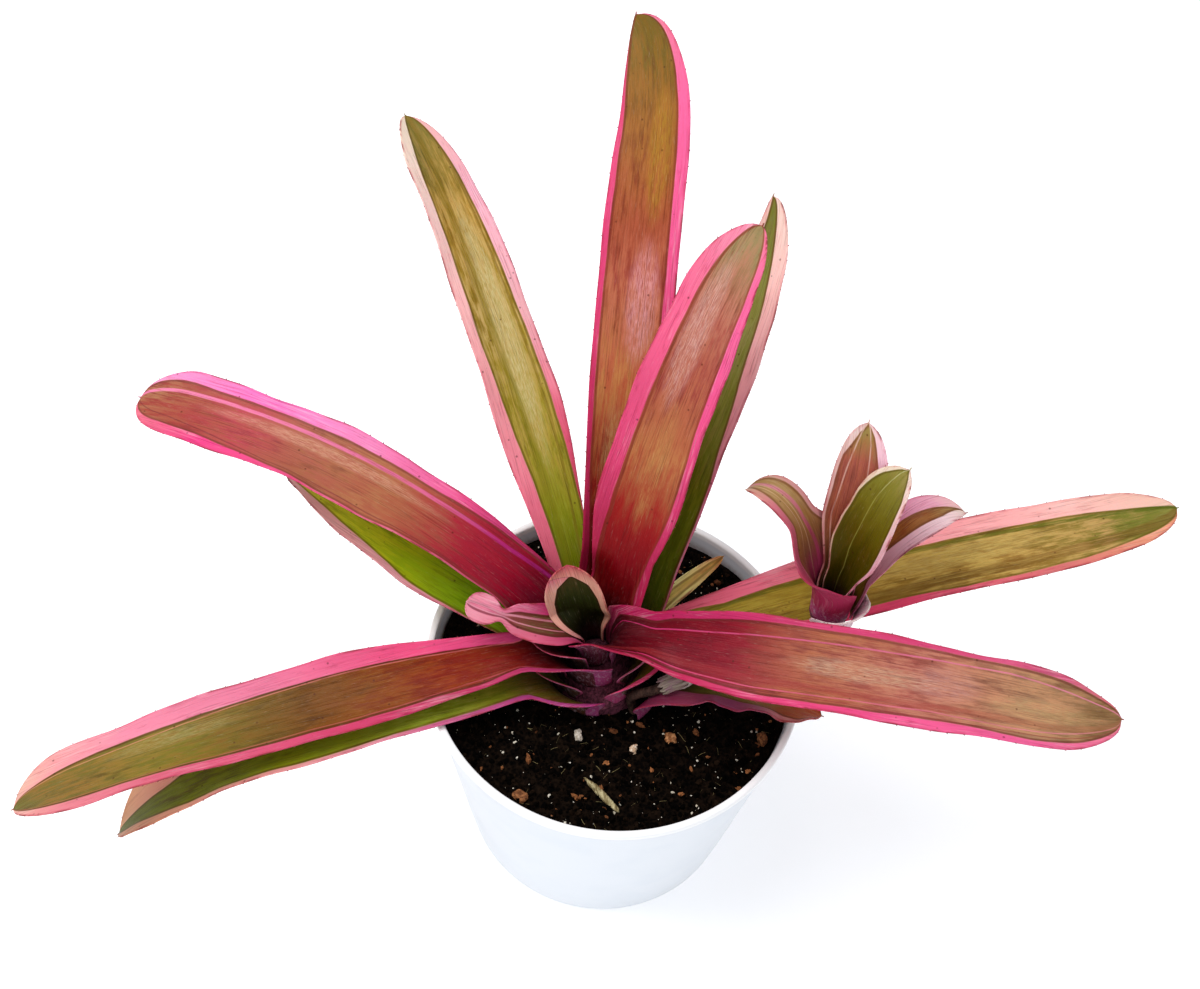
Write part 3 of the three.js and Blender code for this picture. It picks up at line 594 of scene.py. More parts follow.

# The near-black first stops of the red crown leaves' centre and streak ramps are partly their own crimson,
# partly painted shade of the rosette's heart.
FINISHES = {
    "leaf_right_short": LeafFinish(
        centre=tones(".2 4e4a12  .45 7a7420  .7 8a7a30  .8 a85a28  .92 c26a34"),
        streak=tones(".2 3c4210  .5 8c8434  .75 a8682c  .9 b4481c"), right_edge=track(".2 .75  1 .8"),
        right=PALE_PINK, left_edge=track(".2 -.35  .5 -.5  .72 -.6  .88 -.85"),
        left=tones(".1 772145  .35 b15473  .55 a15078  .7 b8637f  .85 d3867c"), seed=21, under="#7a3a3a",
    ),
    # Its greens and pinks are lighter than the leaf's own colour: painted light that makes up for the shade of
    # the leaf over it.
    "leaf_left_low": LeafFinish(
        centre=tones(".1 7a791d  .3 93a124  .6 a0a922  .85 859412  .95 7a8426"),
        streak=tones(".1 907726  .3 b1be46  .6 8b9918  .9 757c16"),
        right_edge=track(".1 .8  .4 .9  .8 .86  .93 .7"),
        right=tones(".1 b44886  .3 d7759b  .5 f5a9ae  .8 ecb095  1 d79e72"),
        left_edge=track(".1 -.7  .7 -.6  .85 -.05  .97 .15"),
        left=tones(".1 e87b96  .6 ff9ea8  .85 fcb8a1  1 faca96"), seed=22, under="#54301c",
    ),
    "leaf_right_back": LeafFinish(
        centre=tones(".1 a18e23  .3 b6a03c  .6 c9ab5e  .85 c19e64  .95 88823c  1 ada764"),
        streak=tones(".1 908214  .4 ac8e36  .7 9d783b  .93 808237"),
        right_edge=track(".1 .78  .2 .5  .6 .55  .8 .52  .97 .42"),
        right=tones("0 d4526a  .25 ff849c  .55 ffa8ad  .8 f9bdb6  1 f1c9b4"),
        left_edge=track(".3 -.75  .5 -.76  .6 -.86  .8 -.8  .92 -.7"),
        left=tones(".2 f15182  .5 ff658a  .75 d47978  .95 eba07f"),
        stripes=(
            Stripe(track(".3 -.5  .6 -.55  .95 -.4"), 1.9, tones(".3 7a5e1c  .9 7e5c28"), 0.6),
            Stripe(track(".3 .42  .6 .45  .95 .35"), 0.7, tones(".3 6a6a10  .95 5c6c1c"), 0.7),
        ),
        wax_sheen_patches=(WaxAndSheenPatch(0.6, 0.1, 0.22, 0.4, "#c2ac68", 0.55),), line="#6e5a1c", seed=10,
    ),
    # Its greens are lighter than the leaf's own colour: painted light that makes up for the shade of the leaves
    # over it.
    "leaf_left_under": LeafFinish(
        centre=tones(".1 5c7909  .35 80a00e  .6 c8d125  .85 dae33c"),
        streak=tones(".1 68840b  .35 91b41a  .6 a6bc16  .85 c1cf28"),
        right_edge=track(".3 .97  .5 .86  .7 .63  .85 .5"), right=PALE_PINK, left_edge=track(".2 -.7  .9 -.6"),
        left=PALE_PINK, seed=6,
    ),
    "leaf_back_right_low": LeafFinish(
        centre=tones(".1 4a5606  .4 6a6e10  .6 868a3a  .8 8c8c48  .95 84803c"),
        streak=tones(".1 525e0c  .4 7c7c1c  .7 9a9858  .95 7a8434"), right_edge=track(".2 .7  1 .6"),
        right=PALE_PINK, left_edge=track(".15 -.95  .42 -.92  .5 -.78  .62 -.55  .75 -.4  .95 -.2"),
        left=tones(".1 c87890  .4 e0889c  .7 f6b8b8  .95 f6d4c8"), seed=4,
    ),
    "leaf_back_left": LeafFinish(
        centre=tones(".12 6f7b08  .22 898c16  .35 b69e47  .6 cbad6f  .8 c8a35b  .93 a38a4a"),
        streak=tones(".12 607004  .25 999a2e  .5 a99436  .8 a88332  .95 837b3a"),
        right_edge=track(".15 .42  .3 .46  .42 .58  .55 .68  .7 .64  .85 .6  .97 .52"),
        right=tones("0 bf4f65  .25 f38298  .55 ffb6b8  .8 ffd7cf  1 f4e3cb"),
        left_edge=track(".2 -.98  .3 -.88  .4 -.76  .55 -.73  .8 -.67  .96 -.6"),
        left=tones(".2 cd355e  .4 e66f8a  .6 f3b5bb  .85 fab7c7  1 f2beb4"),
        stripes=(
            Stripe(track(".3 .1  .6 .22  .95 .1"), 1.5, tones(".3 84801c  .9 8a701c"), 0.5),
            Stripe(track(".25 -.6  .9 -.55"), 0.5, tones(".3 847420  .9 8a6a30"), 0.6),
        ),
        wax_sheen_patches=(WaxAndSheenPatch(0.58, -0.15, 0.3, 0.4, "#d6c692", 0.8),), line="#5e4a14", seed=1,
    ),
    "leaf_left_front": LeafFinish(
        centre=tones(
            ".08 5c060c  .16 871c11  .28 812d14  .42 7e4919  .55 7a5719  .75 937b35  .93 97723a  .98 777437"
        ),
        streak=tones(".1 6d0d0e  .25 973e15  .4 8a531a  .5 6e4512  .7 7b7226  .95 7c6d35"),
        right_edge=track(".1 .7  .2 .86  .28 .76  .5 .78  .7 .74  .9 .7"),
        right=tones(".05 9c3868  .2 c03c68  .4 cc4870  .7 d4607c  .9 e08890  1 e8a89c"),
        left_edge=track(".1 -.45  .18 -.6  .4 -.56  .7 -.54  .85 -.5  .96 -.36"),
        left=tones(".1 ca4a7c  .3 ec5886  .55 df7997  .8 ec90a5  .93 efa0a2  1 e3b5a2"),
        stripes=(
            Stripe(track(".2 -.53  .6 -.49  .95 -.3"), 0.22, tones(".2 d87070  .9 d89878"), 0.6),
            Stripe(track(".25 .68  .6 .7  .9 .64"), 0.22, tones(".2 b85058  .9 b87858"), 0.6),
        ),
        wax_sheen_patches=(WaxAndSheenPatch(0.72, -0.2, 0.14, 0.25, "#b0a06c", 0.5),), line="#54241a", seed=7, under="#5e2a2e",
    ),
    "leaf_back": LeafFinish(
        centre=tones(
            ".15 68060c  .28 8c251f  .4 bc6846  .55 bc7256  .68 ab5b40  .8 a46d36  .93 88662b  1 715b1d"
        ),
        streak=tones(".15 55090b  .3 9e4e30  .45 c58753  .6 a04d3f  .75 9f5932  .93 786227"),
        right_edge=track(".15 .72  .3 .86  .6 .84  .8 .85  .96 .97"),
        right=tones(".1 9a1a3e  .4 cf3f6e  .7 e15483  1 c04a67"),
        left_edge=track(".4 -.75  .55 -.7  .75 -.68  .88 -.62  .96 -.72"), left=HOT_PINK,
        wax_sheen_patches=(
            WaxAndSheenPatch(0.56, -0.15, 0.11, 0.5, "#e0a0a0", 0.75),
            WaxAndSheenPatch(0.33, 0.25, 0.09, 0.4, "#c8a878", 0.45),
            WaxAndSheenPatch(0.78, -0.2, 0.12, 0.4, "#b08a30", 0.6),
        ),
        line="#7a2c28", seed=2,
    ),
    "leaf_left_back": LeafFinish(
        centre=tones(
            ".1 480217  .2 95082c  .32 ab3240  .45 ac654a  .65 ad6655  .75 b15850  .88 a95a48  1 af805c"
        ),
        streak=tones(".1 540420  .3 9e253b  .5 b27753  .65 a76a4c  .78 ba4e59  .92 a34940"),
        right_edge=track(".15 .97  .3 .95  .6 .95  .7 .88  .85 .7  .93 .68  1 .8"),
        right=tones(".15 c0546e  .4 d7738a  .65 e45b8a  .85 ea478a  1 e6808d"),
        left_edge=track(".15 -.94  .3 -.82  .4 -.69  .6 -.66  .85 -.66  .95 -.76  1 -.85"),
        left=tones(".15 8a0f49  .35 e2598d  .55 f08dbb  .8 f878bb  1 f89fc6"),
        stripes=(
            Stripe(
                track(".15 -.74  .24 -.57  .4 -.45  .6 -.42  .8 -.42  .95 -.42"), 0.7,
                tones(".12 8a1a68  .26 b4307a  .4 dc6c98  .9 f088b0"), 0.85,
            ),
            Stripe(track(".3 .86  .7 .78  .92 .42"), 0.25, tones(".2 7a3838  .9 7a3838"), 0.6),
        ),
        wax_sheen_patches=(WaxAndSheenPatch(0.62, -0.15, 0.3, 0.2, "#d8a48c", 0.55),), line="#7a3c38", seed=5,
    ),
    "leaf_back_right": LeafFinish(
        centre=tones(".12 550106  .22 8c081a  .32 a32624  .5 b46a48  .7 b16752  .85 b87b66  .95 a68864"),
        streak=tones(".12 5d0209  .3 95181f  .5 bc7d50  .65 a15044  .82 aa5e51  .95 95855c"),
        right_edge=track(".12 .93  .22 .88  .35 .64  .5 .6  .9 .58  1 .5"), right=PINK,
        left_edge=track(".12 -.6  .25 -.8  .5 -.8  .72 -.72  .9 -.76"), left=HOT_PINK,
        stripes=(Stripe(track(".22 .8  .35 .57  .9 .52"), 0.4, tones(".2 8a3028  .8 8a4c34"), 0.7),),
        wax_sheen_patches=(
            WaxAndSheenPatch(0.76, 0.15, 0.2, 0.4, "#dcb0a4", 0.6),
            WaxAndSheenPatch(0.47, -0.1, 0.18, 0.3, "#c09058", 0.5),
        ),
        line="#8c3830", seed=3,
    ),
    "leaf_right_front": LeafFinish(
        centre=tones(".1 46020e  .18 78061f  .32 922231  .48 af6b4c  .65 c07f6b  .85 c2926e  .96 a17b57"),
        streak=tones(".1 4f0412  .3 7e1528  .5 a05743  .65 a3594f  .85 a88163  .96 896b46"),
        right_edge=track(".12 .6  .2 .76  .35 .82  .5 .85  .8 .88  .95 .84"),
        right=tones(".1 a11a4f  .3 c4366b  .6 d34e7a  .9 d7688a  1 d7827c"),
        left_edge=track(".12 -.85  .3 -.84  .5 -.85  .7 -.75  .85 -.84  .97 -.8"), left=HOT_PINK,
        stripes=(
            Stripe(track(".12 .4  .3 .46  .5 .58  .8 .7  .95 .58"), 0.26, tones(".1 c83070  .9 e088a0"), 0.8),
            Stripe(
                track(".25 -.72  .5 -.66  .68 -.55  .8 -.62  .96 -.5"), 0.24,
                tones(".1 d83c78  .9 e08c98"), 0.7,
            ),
            Stripe(track(".3 -.77  .6 -.73  .8 -.72  .96 -.66"), 0.2, tones(".1 8a2840  .9 9a4c44"), 0.6),
            Stripe(track(".35 -.5  .6 -.48  .8 -.4"), 1.3, tones(".3 a0383c  .7 9c3c38  .9 a87050"), 0.45),
        ),
        wax_sheen_patches=(
            WaxAndSheenPatch(0.56, 0.05, 0.16, 0.3, "#cfae90", 0.55),
            WaxAndSheenPatch(0.7, 0.15, 0.07, 0.5, "#cc9c94", 0.45),
            WaxAndSheenPatch(0.86, -0.05, 0.12, 0.35, "#c8a878", 0.5),
        ),
        line="#6e2c2c", seed=9, under="#8a3a5a",
    ),
    "leaf_withered": LeafFinish(
        centre=tones(".1 ac9a40  .5 d2c060  .8 f0d87c  .93 e1ad5c  1 9b5b2c"),
        streak=tones(".1 9b823c  .5 fae28c  .85 d29e5c  1 af6530"), right_edge=track(".2 .6  1 .5"),
        right=tones(".1 e6ca78  .6 fffeb0  1 f0c078"), left_edge=track(".2 -.6  1 -.5"),
        left=tones(".1 e6c578  .6 fff8a8  1 dca358"), line="#8a7444", seed=31, under="#b0a070", gloss=0.6,
    ),
    "leaf_heart_curled": LeafFinish(
        centre=tones(".1 4a1a1a  .3 6c3430  .5 7c4438  .65 8c4a48  .76 c86884  .86 e88aa0"),
        streak=tones(".1 3c2416  .3 5c4a2c  .5 6e5234  .65 9c5450  .8 dc7c94"),
        right_edge=track(".2 .6  .6 .5  .8 .3"), right=tones(".2 b84870  .5 cc6880  .7 e08498  .9 ec9cac"),
        left_edge=track(".2 -.55  .4 -.42  .6 -.5  .8 -.3"),
        left=tones(".2 b02c64  .4 c8487c  .6 d46c8c  .85 ec94a8"),
        stripes=(
            Stripe(track(".1 -.15  .6 -.2  .8 -.2"), 0.4, tones(".1 c06c7c  .8 e49cac"), 0.8),
            Stripe(track(".1 .3  .6 .2  .8 .1"), 0.25, tones(".1 b46870  .8 e49cac"), 0.8),
        ),
        line="#5a2420", seed=41, foot=9.0, under="#8a4450", gloss=0.42,
    ),
    "leaf_heart_arched": LeafFinish(
        centre=tones(".2 14140a  .5 222406  .75 34380a  .93 4a3812"),
        streak=tones(".2 1c1006  .6 2c3406  .9 54401c"),
        right_edge=track(".2 .8  .6 .74  .76 .56  .86 .1  .9 -1"),
        right=tones(".1 c8788c  .4 d8a090  .75 e0a894  .9 d87884  1 cc5c68"),
        left_edge=track(".2 -.78  .6 -.7  .76 -.52  .86 -.06  .9 1"),
        left=tones(".1 c08c78  .5 d4a088  .8 dca490  .93 d08078  1 c05060"), line="#3a1c0c", seed=42, foot=9.0,
        under="#9a5c50", gloss=0.45,
    ),
    "offset_leaf_right": LeafFinish(
        centre=tones(".2 8a7020  .5 a0602c  .8 a87440  .95 b0a070"),
        streak=tones(".2 948030  .5 8a4a24  .8 94562c  .95 a08858"),
        right_edge=track(".3 .5  .65 .4  .85 .2  .97 0"),
        right=tones(".2 b05c84  .6 d888a8  .85 e8a8bc  1 e4c4b8"),
        left_edge=track(".2 -.75  .45 -.2  .6 -.3  .85 -.4  .97 -.2"),
        left=tones(".1 c87898  .35 e4a4b4  .6 ecbcc8  .85 f0d0d4  1 e0c8bc"), line="#70402c", seed=51, foot=9.0,
        under="#c8a0b0",
    ),
    "offset_leaf_left": LeafFinish(
        centre=tones(".1 b03868  .3 b04868  .42 946048  .6 a47848  .85 a88858"),
        streak=tones(".1 a82c5c  .3 a03c58  .5 a06c44  .8 b49468"),
        right_edge=track(".1 .2  .3 .4  .45 .62  .7 .62  .95 .5"),
        right=tones(".1 a12553  .3 b1385d  .5 c45d75  .75 cf7b86  .95 cfa78d"),
        left_edge=track(".2 -.6  .4 -.72  .9 -.75"), left=tones(".1 b8596e  .4 cf8d90  .8 d39c97  1 cfab90"),
        stripes=(
            Stripe(
                track(".1 -.1  .4 -.15  .7 -.2  .95 -.1"), 0.75,
                tones(".1 b03c68  .5 c45478  .85 d48a98"), 0.85,
            ),
            Stripe(track(".3 .3  .6 .22  .9 .2"), 0.2, tones(".3 c08070  .9 d0b088"), 0.7),
            Stripe(track(".3 .05  .9 0"), 0.2, tones(".3 c0907c  .9 d0b088"), 0.7),
        ),
        line="#7c4834", seed=52, foot=9.0, under="#a8385c",
    ),
    "offset_leaf_back": LeafFinish(
        centre=tones(".2 8a5430  .5 a05840  .8 b06850  .93 a4884c  1 b0885c"),
        streak=tones(".2 7c6024  .5 904838  .8 a85c50  .95 9c8c50"),
        right_edge=track(".3 .92  .8 .84  .93 .55  1 .1"),
        right=tones(".3 c48c88  .8 e0b8b0  .95 ecd0c8  1 c88c8c"),
        left_edge=track(".3 -.7  .8 -.56  .93 -.45  1 -.1"),
        left=tones(".3 d080a4  .7 f0b4cc  .9 f4ccd4  1 ecd0c8"),
        stripes=(
            Stripe(track(".5 -.25  .95 -.15"), 0.25, tones(".5 c88484  .95 dcb8a8"), 0.8),
            Stripe(track(".5 .7  .95 .45"), 0.25, tones(".5 c89084  .95 dcb8a8"), 0.8),
        ),
        line="#84503c", seed=53, foot=9.0, under="#a07878",
    ),
    "offset_leaf_middle": LeafFinish(
        centre=tones(".2 4d4505  .45 554a05  .65 6b600b  .82 7f7828  .95 9b8d53"),
        streak=tones(".2 554807  .5 624f0b  .7 766b19  .9 888336"),
        right_edge=track(".2 .95  .7 .92  .88 .78  .96 .55  1 .2"),
        right=tones(".2 c4988c  .7 dcc4a8  1 ead8c4"),
        left_edge=track(".2 -.92  .45 -.82  .65 -.8  .85 -.76  .95 -.6  1 -.3"),
        left=tones(".2 d090a4  .5 e4b0b8  .8 ecc8c4  1 ecd8c8"),
        stripes=(Stripe(track(".75 .3  .98 .2"), 0.2, tones(".75 a8a458  .98 dcd8ac"), 0.5),), line="#5a4a10",
        seed=54, foot=9.0, under="#8c8050",
    ),
}


# Leaves

STEM_SLOPE = 87.0  # degrees at which every base leaves the stem
NEST_STEPS = 24
LINE_STEPS = 240
SHEATH_THICK, RIB_THICK, MARGIN_THICK = 0.62, 1.3, 0.6
WIDEST_WRAP = 1.9  # radians of the stem that half a base clasps at most
FLUTTER = 0.22  # of the margin's wave, in its finer part
EDGE_CROWDING = math.pi / 2 * 0.9

Ring = tuple[tuple[float, float], ...]


@dataclass(frozen=True)
class LeafPlan:
    """Size and pose of one leaf, as in the part's source: millimetres and degrees."""

    node: str
    order: float
    azimuth: float
    length: float
    tip: float
    droop: float
    bend: float
    rolls: tuple[float, float]
    sheath: float = 25.0
    neck: float = 6.0
    wide: float = 9.0
    full: float = 0.35
    round: float = 0.13
    blunt: float = 2.2
    skew: float = 0.0
    wave: float = 0.8
    waves: float = 3.0
    blend: float = 22.0
    opens: tuple[float, float] = (0.5, 1.2)
    rise: float | None = None
    ring: float | None = None
    foot: float | None = None
    throat: float | None = None
    drop: float = 0.0
    clasp: float = 1.0
    pinch: float = 0.0
    pinch_at: float = 0.6
    channel: float = 24.0
    channel_out: float = 13.0
    point: float = 1.5
    rows: int = 120
    cells: int = 28


def small(*facts: float | str | tuple, **more: float | tuple) -> LeafPlan:
    """Plan of a small leaf, with the small leaves' own defaults."""
    usual = {"sheath": 9.0, "round": 0.42, "blunt": 2.0, "wave": 0.3, "waves": 2.0, "point": 0.9}
    return LeafPlan(*facts, **(usual | {"rows": 64, "cells": 24} | more))


CROWN_LEAVES = (
    LeafPlan("leaf_right_short", 0, -17, 64, -12, 1.4, 2, (-12, -28), ring=21.5, foot=0.3, drop=2.6, rise=12,
             sheath=14, neck=10.5, wide=10.5, full=0.5, round=0.3, blunt=1.8, wave=1.2, rows=80),
    LeafPlan("leaf_left_low", 1, 200.5, 162, -40, 2.4, -4, (-19, 12), rise=4, drop=2.2, neck=9.8, wide=12.8,
             full=0.5, skew=0.5),
    LeafPlan("leaf_right_back", 2, 15, 194, -2, 1.1, -1, (20, 5), neck=7.7, wide=13, full=0.4, round=0.26,
             skew=0.2),
    LeafPlan("leaf_left_under", 3, 159, 120, 9, 1.5, -4, (-30, 25), neck=9, wide=12.5, full=0.45, round=0.6,
             blunt=1.5, skew=-0.6),
    LeafPlan("leaf_back_right_low", 4, 53, 160, 38, 1.2, 13, (25, -30), neck=11.6, wide=10.6, full=0.4,
             round=0.28, blunt=1.5, skew=0.9),
    LeafPlan("leaf_back_left", 5, 110, 191, 27, 0.8, 10.5, (0, 35), neck=6.4, wide=12.7, full=0.4, round=0.18,
             blunt=2.1, skew=0.2),
    LeafPlan("leaf_left_front", 6, 197, 191, -6, 0.8, 5, (-32, 17), neck=7.4, wide=13.8, full=0.4, skew=0.3),
    LeafPlan("leaf_back", 7, 75.5, 208, 36, 1.2, 9, (30, -35), sheath=14, neck=9, wide=13.2, full=0.6,
             round=0.2, blunt=2, skew=1),
    LeafPlan("leaf_left_back", 8, 154, 179, 0, 0.8, 13, (-5, -1), opens=(0.35, 1.1), neck=10.3, wide=13.7,
             full=0.5, round=0.12, blunt=2.4, wave=1.1),
    LeafPlan("leaf_back_right", 9, 53, 154, 46, 1.2, -7, (34, -12), sheath=12.5, neck=7.8, wide=13.9, full=0.3,
             round=0.26, skew=-0.15),
    LeafPlan("leaf_right_front", 10, -20, 174, -15, 1.7, 14, (34, -9), clasp=0.65, neck=9, wide=13.9, full=0.3,
             round=0.2, blunt=1.9, skew=0.3, wave=1),
    small("leaf_withered", 0, 42, 47, 0, 1, 0, (20, 35), ring=17.2, foot=1.9, drop=2.6, rise=15, sheath=5,
          neck=4, wide=3.4, round=0.7, blunt=1.7, wave=0.4),
    small("leaf_heart_curled", 11, 187, 45, 30, 1.3, -18, (-35, -26), foot=19.5, throat=14, blend=16, rise=22,
          sheath=5.6, neck=8.7, wide=5, full=0.55, round=0.2, blunt=3, pinch=0.55, pinch_at=0.6, point=0.3),
    small("leaf_heart_arched", 12, 125, 32.5, 66, 1, 0, (-35, -35), foot=18.4, throat=9, blend=9, rise=78,
          sheath=8, opens=(0.3, 1), neck=11, wide=11, round=0.6, blunt=2.4, channel=52, channel_out=40,
          point=0.4),
)
OFFSET_LEAVES = (
    small("offset_leaf_right", 0, 40, 52.5, 3, 1.3, -8, (-33, 7), rise=52, neck=4.8, wide=8, full=0.5,
          skew=-0.8, point=1.4),
    small("offset_leaf_left", 1, 142, 56, -55, 2.4, 3, (11, -1), throat=17, sheath=18, clasp=1.8,
          opens=(1.2, 2.1), neck=6.2, wide=7, full=0.3, skew=0.5, point=1.4),
    small("offset_leaf_back", 2, 82, 65.5, 58, 1.2, 3, (-6, -36), rise=73, neck=5.6, wide=9.4, full=0.4,
          skew=0.2, point=2),
    small("offset_leaf_middle", 3, 46, 61, 54, 1.7, 2, (-6, -26), rise=83, neck=7, wide=10.2, full=0.25,
          skew=-0.2, point=2),
    small("offset_bract", -1, -48, 15, 50, 1, 0, (0, 0), rise=66, sheath=14, neck=11, wide=9, round=0.9,
          blunt=1.6, rows=30),
)
# Leaves without marginal spines: a withered one and a young one with a soft round tip.
SPINELESS = ("leaf_withered", "leaf_heart_curled")


@dataclass
class Plate:
    """A grid of middle points with what its mesh and finish need to know at each."""

    points: np.ndarray
    thickness: np.ndarray
    share: np.ndarray
    ruler: np.ndarray

    @classmethod
    def ruled(
        cls, points: np.ndarray, thickness: np.ndarray, share: np.ndarray, run: np.ndarray, q: np.ndarray,
        half: np.ndarray,
    ) -> "Plate":
        """Lays out a plate with its stored values.

        Args:
            points: the grid, in millimetres.
            thickness: at each point.
            share: of the length, one for each row.
            run: millimetres along, one for each row.
            q: place across, one for each column.
            half: half the width, one for each row.

        Returns:
            The plate.
        """
        one = np.ones(points.shape[:2])
        upper = one * Face.UPPER.value
        stored = np.stack([share[:, None] * one, q * one, upper], -1)
        ruler = np.stack([run[:, None] * one, q * half[:, None] * one, half[:, None] * one], -1)
        return cls(points, thickness, stored, ruler)

    def normals(self) -> np.ndarray:
        """Unit normals of the grid."""

        def slopes(p: np.ndarray) -> np.ndarray:
            """Differences between the neighbours of each row."""
            return np.concatenate([p[1:2] - p[:1], p[2:] - p[:-2], p[-1:] - p[-2:-1]])

        return unit(np.cross(slopes(self.points), slopes(self.points.swapaxes(0, 1)).swapaxes(0, 1)))

    def mesh(self, name: str) -> Mesh:
        """Builds the closed plate.

        Args:
            name: the mesh's name.

        Returns:
            The mesh, with leaf_share and leaf_ruler stored on its points.
        """
        rows, cols = self.points.shape[:2]
        lift = self.normals() * self.thickness[..., None] / 2
        both = np.concatenate([(self.points + lift).reshape(-1, 3), (self.points - lift).reshape(-1, 3)]) * MM
        index = np.arange(rows * cols).reshape(rows, cols)
        top = np.stack([index[:-1, :-1], index[1:, :-1], index[1:, 1:], index[:-1, 1:]], -1).reshape(-1, 4)
        under = top[:, ::-1] + rows * cols
        ring = np.concatenate([index[:, 0], index[-1, 1:], index[-2::-1, -1], index[0, -2:0:-1]])
        following = np.roll(ring, -1)
        wall = np.stack([ring, ring + rows * cols, following + rows * cols, following], -1)
        mesh = bpy.data.meshes.new(name)
        mesh.from_pydata(both.tolist(), [], np.concatenate([top, under, wall]).tolist())
        share, ruler = self.share.reshape(-1, 3), self.ruler.reshape(-1, 3)
        below = share * [1, 1, Face.UNDER.value]
        store(mesh, "leaf_share", np.concatenate([share, below]))
        store(mesh, "leaf_ruler", np.concatenate([ruler, ruler]))
        layer = mesh.uv_layers.new(name="UVMap")
        corner = np.empty(len(mesh.loops), np.int32)
        mesh.loops.foreach_get("vertex_index", corner)
        flat = np.concatenate([share, share])[corner, :2] * [1, 0.5] + [0, 0.5]
        layer.data.foreach_set("uv", flat.astype(np.float32).ravel())
        mesh.shade_smooth()
        mesh.update()
        return mesh


def store(mesh: Mesh, name: str, values: np.ndarray) -> None:
    """Stores a vector on every point of a mesh."""
    stored = mesh.attributes.new(name, "FLOAT_VECTOR", "POINT")
    stored.data.foreach_set("vector", np.asarray(values, np.float32).ravel())


